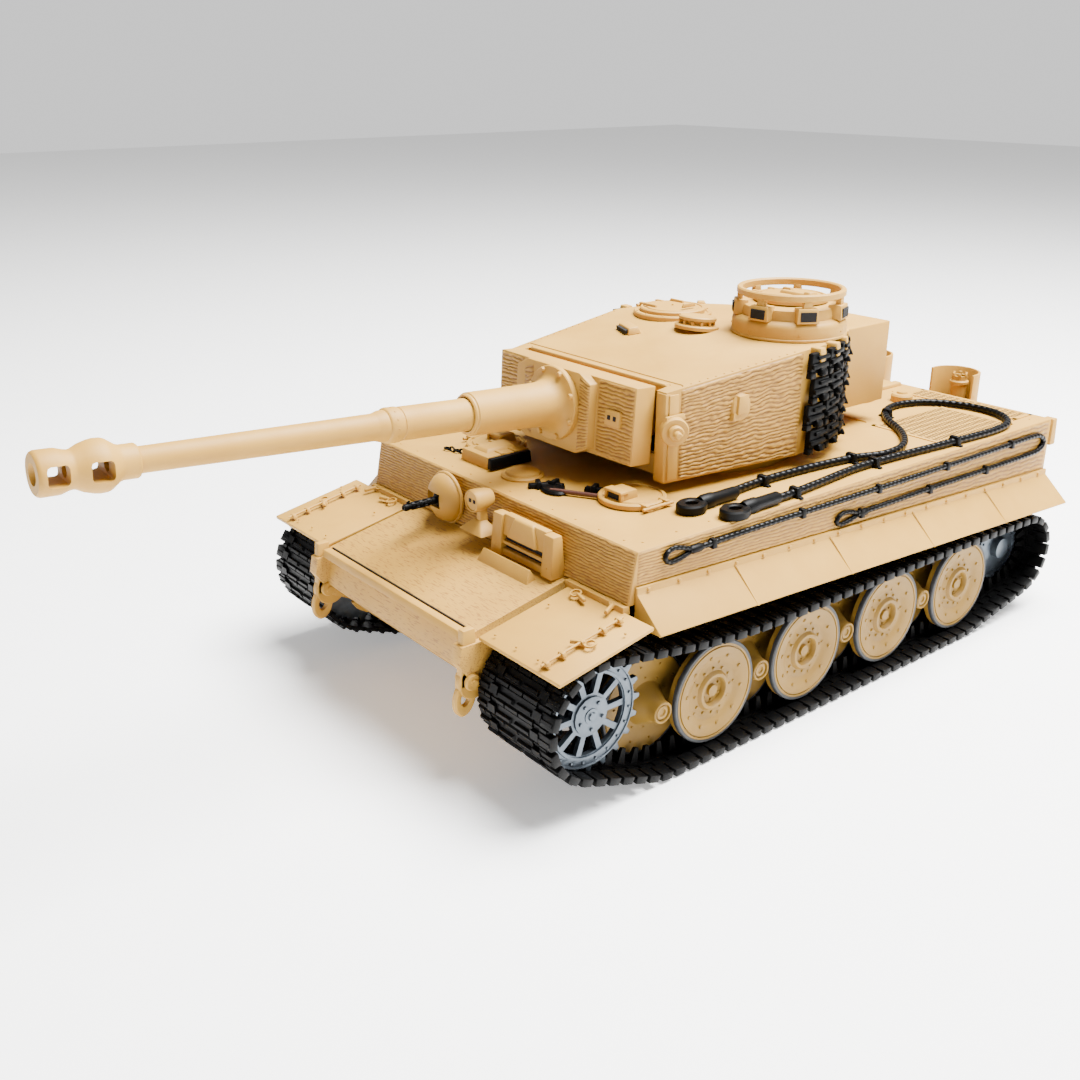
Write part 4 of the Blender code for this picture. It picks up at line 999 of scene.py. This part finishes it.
# Nose -----------------------------------------------------------------------------------------
# The tub's side walls reach forward as lugs that carry tow shackles, each on a cross pin; the round
# drive covers beside them are bolted all round.
LUG_X = 60.4
nose_parts = [part_at((-57.5, -187.6, 66.6), (57.5, -181.6, 69.9), (0.998, 0.62), 0.3)]
for sign in (1, -1):
    x = sign * LUG_X
    lug = spun("lug", [(0, -1.9), (7.6, -1.9), (8.2, -1.3), (8.2, 1.3), (7.6, 1.9), (0, 1.9)], 40)
    nose_parts.append(moved(lug, in_hull(x, -183.0, 48.0) @ to_side))
    nose_parts.append(part_at((x - 1.9, -190.4, 46.5), (x + 1.9, -180.6, 72.6), (1, 0.6), 0.5))
    shackle = spun("shackle", [
        (2.5, -1.3), (3.0, -1.6), (5.0, -1.6), (5.6, -1.0), (5.6, 1.0), (5.0, 1.6), (3.0, 1.6), (2.5, 1.3),
    ], 28)  # fmt: skip
    hanging = in_hull(x, -187.6, 41.2) @ turned_by(-12, "X") @ to_side @ stretched(1.5, 0.95)
    nose_parts.append(moved(shackle, hanging))
    for aside in (-3.4, 3.4):
        knob = spun("knob", [(0, -1.2), (3.2, -1.2), (3.6, -0.6), (3.6, 0.6), (3.2, 1.2), (0, 1.2)], 24)
        nose_parts.append(moved(knob, in_hull(x + aside, -185.6, 49.2) @ to_side))
    pin = spun("pin", [(0, -5.4), (1.5, -5.4), (1.5, 5.4), (0, 5.4)], 16)
    nose_parts.append(moved(pin, in_hull(x, -185.6, 49.2) @ to_side))
on_hull("nose_fittings", nose_parts)
# Painted shade: a dark strip in the groove where the nose meets the plate.
on_hull("nose_joint", [part_at((-57, -181.9, 69.2), (57, -181.3, 69.98))], shade)


# Fender flaps and skirts ----------------------------------------------------------------------
# Each front flap folds on a rod in five knuckles, with latches and rings; skirt panels meet at four
# joints and hang from a row of bolts. Thin ABS, moulded shut.
FENDER_RISE, FENDER_RUN = 9.6, 48.6
FENDER_TIP = (-181.8, 70.4)  # Y and Z of its front edge


def on_fender(sign, x, y, lift=0.0):
    """A point on top of a front fender, its Y running up the slope."""
    z = FENDER_TIP[1] + (y - FENDER_TIP[0]) * FENDER_RISE / FENDER_RUN + lift
    return in_hull(sign * x, y, z) @ turned_by(math.degrees(math.atan2(FENDER_RISE, FENDER_RUN)), "X")


HINGE_X = 103.2
fender_parts = []
for sign in (1, -1):
    rod = spun("rod", [(0, -21.5), (0.6, -21.5), (0.6, 21.5), (0, 21.5)], 10)
    fender_parts.append(moved(rod, on_fender(sign, HINGE_X, -159.5, 0.7) @ turned_by(90, "X")))
    for y in (-178, -170, -160, -149, -140.5):
        knuckle = block("knuckle", (-2.3, -1.0, -0.5), (2.3, 1.0, 1.6), (0.6, 0.9), 0.35)
        fender_parts.append(moved(knuckle, on_fender(sign, HINGE_X, y)))
    low_x, high_x = sorted((sign * 61.5, sign * 98.7))
    fender_parts.append(part_at((low_x, -134.6, 76.8), (high_x, -130.2, 80.7), (1, 0.8), 0.3))
    for x, y, turn in ((78, -139, 75), (94, -137.5, 20), (102, -161, -60)):
        latch = block("latch", (-0.9, -3.4, -0.3), (0.9, 3.4, 1.3), (0.7, 0.9), 0.35)
        loop = spun("loop", [(1.9, -0.4), (2.7, -0.4), (2.7, 0.4), (1.9, 0.4)], 20)
        place = on_fender(sign, x, y, 0.3) @ turned_by(sign * turn, "Z")
        fender_parts += [moved(latch, place), moved(loop, place @ shifted(y=5.2))]
    for x, y in ((70, -178), (84, -178), (98, -178), (70, -150), (112, -145)):
        fender_parts.append(moved(domed_bolt(0.5, 0.45), on_fender(sign, x, y)))
on_hull("fender_flap_hinges", fender_parts)


def skirt_line(y, height):
    """The Z of a line along the skirt, this high at its front end: it drops 14 mm to the rear."""
    return height - 14 * (y + 131.5) / 317.5


skirt_parts = []
seam_slope = math.degrees(math.atan2(14.2, 14.7))
for sign in (1, -1):
    row = [-122 + 17.6 * i for i in range(18)]
    bolt = moved(domed_bolt(1.1, 1.1), turned_by(90 * sign, "Y"))
    skirt_parts += row_of(bolt, [(sign * 100.4, y, skirt_line(y, 87.0)) for y in row])
    for y in (-70, -5, 60, 125):
        seam = block("seam", (0, -0.45, 0), (20.6, 0.45, 0.35), (1, 0.5))
        place = handed(sign) @ in_hull(100.6, y, skirt_line(y, 86.4)) @ turned_by(seam_slope, "Y")
        skirt_parts.append(moved(seam, place))
on_hull("skirt_bolts_and_seams", skirt_parts)


# Deck fittings --------------------------------------------------------------------------------
# Between the crew hatches: the fan's round cover, a strapped tool box with a black end, a shovel, a
# chain and black clamps. Bolts run along the deck's sides and front.
DECK = 103.5
dome = spun("dome", [
    (0, -0.4), (10.4, -0.4), (10.4, 0.8), (9.7, 1.4), (8.4, 1.5), (8.0, 2.6), (6.6, 3.3), (0, 3.7),
], 48)  # fmt: skip
deck_parts = [
    moved(dome, in_hull(-6.5, -104.5, DECK)),
    part_at((-46, -113, 103.3), (-23.6, -86, 109.6), (0.94, 0.94), 0.6),
    part_at((-46.3, -104, 103.3), (-23.2, -101.6, 110.2), (0.95, 0.95), 0.3),
    part_at((-46.3, -96, 103.3), (-23.2, -93.6, 110.2), (0.95, 0.95), 0.3),
    part_at((-42, -109, 109.2), (-29, -90, 111.2), (0.7, 0.8), 0.6),
]
bolt_spots = [(x, -118 + 19.5 * i, DECK - 0.1) for x in (-92, 92) for i in range(16)]
bolt_spots += [(-86 + 15.6 * i, -122.5, DECK - 0.1) for i in range(12)]
on_hull("deck_fittings", deck_parts + row_of(domed_bolt(0.6, 0.5), bolt_spots))
black_parts = [part_at((-23.2, -113.4, 104.2), (-19.6, -88.5, 109.8), (0.8, 0.98), 0.6)]
for i in range(5):
    link = spun("link", [(0.9, -0.35), (1.6, -0.35), (1.6, 0.35), (0.9, 0.35)], 14)
    tilt = turned_by(90 * (i % 2), "X") @ stretched(1.4, 1)
    black_parts.append(moved(link, in_hull(-62 + 3.1 * i, -110 + 0.9 * i, 104.6) @ tilt))
for x, y, angle in ((12, -109.5, 62), (16, -103, 18), (33, -93, 30)):
    turn = (angle, "Z")
    black_parts += [
        part_at((x - 5, y - 1.8, 103.5), (x + 5, y + 1.8, 106.0), (0.9, 0.8), 0.5, turn),
        part_at((x - 1.4, y - 3.4, 103.4), (x + 1.4, y + 3.4, 107.2), (0.8, 0.8), 0.4, turn),
    ]
shovel = spun("shovel", [(0, 0), (5.6, 0), (6.0, 0.7), (5.2, 1.5), (0, 2.0)], 24)
black_parts.append(moved(shovel, in_hull(21, -107.5, 103.9) @ stretched(1.25, 0.85)))
on_hull("deck_tools", black_parts, nylon, "black_plastic")

# A turned beech tool handle, stained brown: fine grain along it, with a dull oiled surface.
beech, tree, shader = blank_material("stained_beech")
where = add_node(tree, "ShaderNodeTexCoord").outputs["Object"]
drawn_out = add_node(tree, "ShaderNodeMapping", {"Vector": where, "Scale": (250, 2200, 2200)})
with_grain = drawn_out.outputs["Vector"]
fibre = add_node(tree, "ShaderNodeTexNoise", {"Vector": with_grain, "Scale": 1.0, "Detail": 4})
tone = add_node(tree, "ShaderNodeValToRGB", {"Fac": fibre.outputs["Fac"]})
tone.color_ramp.elements[0].color = linear("#260d04")
tone.color_ramp.elements[1].color = linear("#542510")
tree.links.new(tone.outputs["Color"], shader.inputs["Base Color"])
shader.inputs["Roughness"].default_value = 0.5
shaft = spun("shaft", [(0, -17), (0.9, -17), (1.1, -10), (1.0, 14), (1.3, 16), (0.9, 17), (0, 17)], 16)
moved(shaft, in_hull(36, -101.5, 105.2) @ turned_by(30, "Z") @ to_side)
on_hull("shovel_handle", [shaft], beech, "black_plastic")


# Engine deck ----------------------------------------------------------------------------------
# Framed wire grilles over the radiators on both sides; behind the turret a round cover, two filler
# caps, a strip and a lifting rib, with bolts across the rear.
def grille(name, low_x, high_x, low_y, high_y):
    """A frame with rows of short raised bars over an opening in painted shade, in hull millimetres."""
    low_z, high_z, rail = DECK - 0.3, DECK + 0.45, 2.2
    parts = [
        part_at((low_x, low_y, low_z), (high_x, low_y + rail, high_z)),
        part_at((low_x, high_y - rail, low_z), (high_x, high_y, high_z)),
        part_at((low_x, low_y, low_z), (low_x + rail, high_y, high_z)),
        part_at((high_x - rail, low_y, low_z), (high_x, high_y, high_z)),
    ]
    across = max(2, round((high_x - low_x - 5) / 4.6))
    along = max(2, round((high_y - low_y - 5) / 2.4))
    step_x, step_y = (high_x - low_x - 5) / across, (high_y - low_y - 5) / along
    for i in range(across + 1):
        x = low_x + 2.5 + step_x * i
        parts.append(part_at((x - 0.5, low_y + 1.5, DECK - 0.2), (x + 0.5, high_y - 1.5, DECK + 0.4)))
    for j in range(along + 1):
        y = low_y + 2.5 + step_y * j
        parts.append(part_at((low_x + 1.5, y - 0.5, DECK - 0.2), (high_x - 1.5, y + 0.5, DECK + 0.34)))
    on_hull(name, parts)
    # Painted shade: a dark sheet under the bars, where the opening would be unlit.
    dark = part_at((low_x + 1.5, low_y + 1.5, low_z), (high_x - 1.5, high_y - 1.5, DECK + 0.12))
    on_hull(name + "_opening", [dark], shade)


for side, sign in (("left", 1), ("right", -1)):
    for label, xs, ys in (("front", (45, 92), (96, 158)), ("rear", (16, 88), (167, 184))):
        low_x, high_x = sorted((sign * xs[0], sign * xs[1]))
        grille(f"radiator_grille_{label}_{side}", low_x, high_x, *ys)
cover = spun("cover", [
    (0, -0.4), (15, -0.4), (15, 1.0), (14.2, 1.8), (11, 1.8), (10.4, 1.2), (3, 1.2), (2.6, 2.6), (0, 2.6),
], 56)  # fmt: skip
cap = spun("cap", [(0, -0.4), (6.2, -0.4), (6.2, 3.4), (5.4, 4.4), (3.2, 4.6), (2.8, 5.6), (0, 5.8)], 36)
engine_parts = [
    moved(cover, in_hull(0, 135, DECK)),
    *row_of(cap, [(-24, 152, DECK), (24, 152, DECK)]),
    part_at((-40, 98, 103.3), (40, 99.2, 104.4), (0.99, 0.6), 0.2),
    part_at((-3, 160, 103.3), (3, 182, 105.8), (0.8, 0.95), 0.6),
]
engine_parts += row_of(domed_bolt(0.6, 0.6), [(-88 + 16 * i, 165.5, DECK - 0.1) for i in range(12)])
for x in (96.5, -96.5):
    engine_parts.append(part_at((x - 3.5, 186.2, 88), (x + 3.5, 191.5, 103), (0.9, 0.8), 0.6))
on_hull("engine_deck_fittings", engine_parts)


# Exhausts and rear plate ----------------------------------------------------------------------
# Two stacks with castellated caps inside half-round guards; boxes, tow eyes, bolts and a round cover
# on the plate between and beside them. The inside of each stack is painted shade.
for side, sign in (("left", 1), ("right", -1)):
    stack = spun("stack", [
        (3.3, 112.9), (3.3, 108.2), (0, 108.2), (0, 74), (4.2, 74), (4.6, 74.6), (4.6, 92), (5.3, 92.6),
        (5.3, 94.6), (4.6, 95.2), (4.6, 107.4), (5.4, 108.2), (5.4, 109.6), (4.3, 110.4), (4.3, 112.9),
    ], 40)  # fmt: skip
    teeth = around(block("tooth", (3.3, -1.0, 112.4), (4.6, 1.0, 114.6), (0.9, 0.8), 0.2), 6)
    foot = block("foot", (-4, -9.0, 75), (4, 0, 82), (0.95, 1), 0.5)
    place = in_hull(sign * 31, 198.5, 0)
    parts = [moved(part, place) for part in (stack, *teeth, foot)]
    on_hull("exhaust_stack_" + side, parts, sand, "sand_plastic", "exhaust_pipe_" + side)
    # Painted shade: a dark disc down inside the stack.
    mouth = spun("mouth", [(0, 108.4), (3.1, 108.4), (3.1, 108.9), (0, 108.9)], 24)
    on_hull("exhaust_mouth_" + side, [moved(mouth, place)], shade)
backwards = turned_by(-90, "X")  # Z of a turned shape becomes the tank's rear
bolt_spots = [(x, 189.6, 97) for x in range(-88, 89, 16)] + [(x, 189.6, 41) for x in range(-52, 53, 13)]
rear_parts = row_of(moved(domed_bolt(0.8, 0.8), backwards), bolt_spots)
hatch_cover = spun("cover", [
    (0, 0), (9.5, 0), (9.5, 1.2), (8.8, 1.8), (6.6, 1.8), (6.2, 1.2), (2.4, 1.2), (2.0, 2.4), (0, 2.4),
], 48)  # fmt: skip
rear_parts.append(moved(hatch_cover, in_hull(0, 189.5, 62) @ backwards))
for sign in (1, -1):
    rear_parts.append(part_at((sign * 70 - 14, 189.0, 76), (sign * 70 + 14, 193.6, 90), (0.94, 0.85), 0.7))
    rear_parts.append(part_at((sign * 47 - 4, 189.0, 44), (sign * 47 + 4, 195.0, 58), (0.8, 0.7), 0.7))
    ring = spun("ring", [(3.1, -1.15), (5.3, -1.15), (5.3, 1.15), (3.1, 1.15)], 28)
    rear_parts.append(moved(ring, in_hull(sign * 47, 197.6, 49.6) @ to_side))
on_hull("rear_plate_fittings", rear_parts)


# Tow cables -----------------------------------------------------------------------------------
# Steel rope on the real tank, soft black rubber cord here, laid along the deck in clips, with a
# forged eye on each end. A thinner one of the same cord is clipped along the left side.

# Moulded rubber in a slightly shiny black, with a strand wound round it once for each length of lay:
# 3.8 mm on the tow cables and 3.2 mm on the side one, coarser than real rope so that it shows.
cord_rubber, tree, shader = blank_material("laid_black_rubber_cord")
along = add_node(tree, "ShaderNodeUVMap", uv_map="lay").outputs["UV"]
parts = add_node(tree, "ShaderNodeSeparateXYZ", {"Vector": along})
twist = add_node(tree, "ShaderNodeMath", {0: parts.outputs["X"], 1: parts.outputs["Y"]}, operation="ADD")
turns = add_node(tree, "ShaderNodeMath", {0: twist.outputs[0], 1: 2 * math.pi}, operation="MULTIPLY")
wave = add_node(tree, "ShaderNodeMath", {0: turns.outputs[0]}, operation="SINE")
strand = add_node(tree, "ShaderNodeMapRange", {"Value": wave.outputs[0], "From Min": -1.0})
tone = add_node(tree, "ShaderNodeValToRGB", {"Fac": strand.outputs["Result"]})
tone.color_ramp.elements[0].color = linear("#010101")
tone.color_ramp.elements[1].color = linear("#070707")
tree.links.new(tone.outputs["Color"], shader.inputs["Base Color"])
shader.inputs["Roughness"].default_value = 0.34
shader.inputs["Specular IOR Level"].default_value = 0.12
wound = {"Height": strand.outputs["Result"], "Strength": 0.6, "Distance": 0.0004}
bump = add_node(tree, "ShaderNodeBump", wound)
tree.links.new(bump.outputs["Normal"], shader.inputs["Normal"])


def smooth_line(route, spacing):
    """Points of a smooth curve through the route, about one spacing apart."""
    ends = [2 * Vector(route[0]) - Vector(route[1])] + [Vector(p) for p in route]
    ends.append(2 * ends[-1] - ends[-2])
    points = []
    for a, b, c, d in zip(ends, ends[1:], ends[2:], ends[3:]):
        pieces = max(1, round((c - b).length / spacing))
        for i in range(pieces):
            t = i / pieces
            bend, twist = 2 * a - 5 * b + 4 * c - d, 3 * b - a - 3 * c + d
            points.append(0.5 * (2 * b + (c - a) * t + bend * t**2 + twist * t**3))
    return points + [ends[-2]]


def rope(name, route, radius, lay):
    """A round cord along a route in hull millimetres; its UV map runs along its lay and round it."""
    line = smooth_line(route, 1.6)
    sides = 12
    points, faces, marks = [], [], []
    up = Vector((0, 0, 1))
    travelled = 0.0
    for i, point in enumerate(line):
        heading = (line[min(i + 1, len(line) - 1)] - line[max(i - 1, 0)]).normalized()
        if abs(heading.dot(up)) > 0.95:
            up = Vector((1, 0, 0))
        across = heading.cross(up).normalized()
        up = across.cross(heading).normalized()
        if i:
            travelled += (point - line[i - 1]).length
        for k in range(sides):
            angle = 2 * math.pi * k / sides
            points.append(tuple((point + radius * (math.cos(angle) * across + math.sin(angle) * up)) * MM))
        marks.append(travelled / lay)
    for i in range(len(line) - 1):
        here, there = i * sides, (i + 1) * sides
        for k in range(sides):
            beside = (k + 1) % sides
            faces.append((here + k, here + beside, there + beside, there + k))
    last = (len(line) - 1) * sides
    faces += [tuple(range(sides))[::-1], tuple(last + k for k in range(sides))]
    mesh = bpy.data.meshes.new(name)
    mesh.from_pydata(points, [], faces)
    layer = mesh.uv_layers.new(name="lay")
    for face in mesh.polygons:
        ring = [mesh.loops[k].vertex_index % sides for k in face.loop_indices]
        wraps = 0 in ring and sides - 1 in ring and len(ring) == 4
        for loop, spot in zip(face.loop_indices, ring):
            index = mesh.loops[loop].vertex_index
            round_it = (spot + (sides if wraps and spot == 0 else 0)) / sides
            layer.data[loop].uv = (marks[index // sides], round_it)
    piece = bpy.data.objects.new(name, mesh)
    bpy.context.scene.collection.objects.link(piece)
    deselect()
    piece.select_set(True)
    bpy.context.view_layer.objects.active = piece
    bpy.ops.object.mode_set(mode="EDIT")
    bpy.ops.mesh.select_all(action="SELECT")
    bpy.ops.mesh.normals_make_consistent(inside=False)
    bpy.ops.object.mode_set(mode="OBJECT")
    bpy.ops.object.shade_smooth_by_angle(angle=math.radians(50))
    return moved(piece, Matrix.Translation((0, HULL_MIDDLE_Y, 0)))


tow_route = [
    (78.5, -68), (75.6, -45), (74.2, -25), (75.2, 5), (78.5, 35), (84.4, 55), (81, 74), (67.4, 91.7),
    (44, 110), (33, 130), (38, 152), (55, 164), (76, 165), (91, 154), (95.6, 135), (93.8, 96),
    (90.6, 55), (89.6, 25), (92.5, -5), (94.6, -30), (95.2, -58),
]  # fmt: skip
CORD_Z = 105.7
deck_clips = []
for side, sign in (("left", 1), ("right", -1)):
    cord = rope("tow_cable_cord_" + side, [(sign * x, y, CORD_Z) for x, y in tow_route], 1.9, 3.8)
    fitted(painted(cord, cord_rubber), "hull", "cable_rubber", "tow_cable_" + side)
    ends = []
    for x, y in ((78.9, -72), (95.4, -62)):
        socket = spun("socket", [
            (0, -1), (2.9, -1), (3.5, 1.0), (3.5, 6.4), (3.0, 8.0), (3.0, 21.0), (2.2, 22.5), (0, 22.5),
        ], 24)  # fmt: skip
        eye = spun("eye", [
            (2.6, -1.7), (3.2, -2.2), (5.6, -2.2), (6.3, -1.4), (6.3, 1.4), (5.6, 2.2), (3.2, 2.2),
            (2.6, 1.7),
        ], 32)  # fmt: skip
        ends.append(moved(socket, in_hull(sign * x, y + 1.5, CORD_Z + 0.7) @ backwards))
        ends.append(moved(eye, in_hull(sign * x, y - 4.6, CORD_Z + 0.2) @ stretched(1, 1.2)))
    fitted(painted(joined("tow_cable_eyes_" + side, ends), nylon), "hull", "cable_rubber")
    for clip_x, y in ((74.2, -25), (94.4, -26), (78.5, 35), (89.9, 38), (40, 116), (93.8, 100)):
        x = sign * clip_x
        deck_clips += [
            part_at((x - 3.4, y - 1.6, 103.3), (x + 3.4, y + 1.6, 108.5), (0.74, 0.9), 0.5),
            part_at((x - 4.8, y - 1.2, 103.3), (x + 4.8, y + 1.2, 104.5), (0.96, 0.9), 0.3),
        ]
fitted(painted(joined("tow_cable_clips", deck_clips), nylon), "hull", "cable_rubber")

side_route = [
    (-99, 97.6), (-60, 98), (0, 97.4), (60, 97), (120, 97), (164, 97.2), (174, 95.8), (178, 92),
    (174, 88.2), (160, 87.2), (100, 87.4), (50, 87.6), (14, 87.4),
]  # fmt: skip
side_cord = rope("side_cable_cord", [(100.4, y, z) for y, z in side_route], 1.4, 3.2)
fitted(painted(side_cord, cord_rubber), "hull", "cable_rubber", "side_cable")
upper_loop = [
    (-97, 97.8), (-102, 99.6), (-108, 101.0), (-112, 99.6), (-112.6, 97.2), (-110, 95.0), (-104, 95.4),
    (-97, 97.2),
]  # fmt: skip
lower_loop = [(16, 87.6), (10, 89.4), (4, 90.2), (0, 88.8), (-1, 86.8), (2, 84.9), (8, 85.2), (16, 87.0)]
loops = [rope("loop", [(100.2, y, z) for y, z in bend], 1.1, 2.6) for bend in (upper_loop, lower_loop)]
side_parts = []
for y, z in (
    (-85, 97.7), (-27, 97.7), (29, 97.2), (85, 97.0), (144, 97.1), (122, 87.3), (72, 87.5), (17, 87.4),
):  # fmt: skip
    side_parts.append(part_at((98.7, y - 1.5, z - 2.2), (102.3, y + 1.5, z + 2.2), (0.8, 0.8), 0.4))
for y, z in ((-95, 97.6), (18.5, 87.4)):
    ferrule = spun("ferrule", [(0, -3.4), (1.5, -3.4), (1.9, -2.4), (1.9, 2.4), (1.5, 3.4), (0, 3.4)], 16)
    side_parts.append(moved(ferrule, in_hull(100.3, y, z) @ turned_by(90, "X")))
fitted(painted(joined("side_cable_clips", side_parts), nylon), "hull", "cable_rubber")
fitted(painted(joined("side_cable_loops", loops), cord_rubber), "hull", "cable_rubber")


# Inside the hull ------------------------------------------------------------------------------
# Battery, board, gearbox and switch keep the frame's own shapes, in the finishes they have.

# A glass-fibre board under glossy green lacquer, with copper lands about 3 mm apart showing through.
board, tree, shader = blank_material("green_solder_resist")
where = add_node(tree, "ShaderNodeTexCoord").outputs["Object"]
squares = add_node(tree, "ShaderNodeTexVoronoi", {"Vector": where, "Scale": 350}, distance="MANHATTAN")
tone = add_node(tree, "ShaderNodeValToRGB", {"Fac": squares.outputs["Distance"]})
tone.color_ramp.elements[0].color = linear("#3f7a4a")
tone.color_ramp.elements[1].color = linear("#234d2f")
tree.links.new(tone.outputs["Color"], shader.inputs["Base Color"])
shader.inputs["Roughness"].default_value = 0.3
painted(frame["nodes"]["control_board"], board)
for node in ("battery_pack", "drive_gearbox", "power_switch"):
    painted(frame["nodes"][node], nylon)
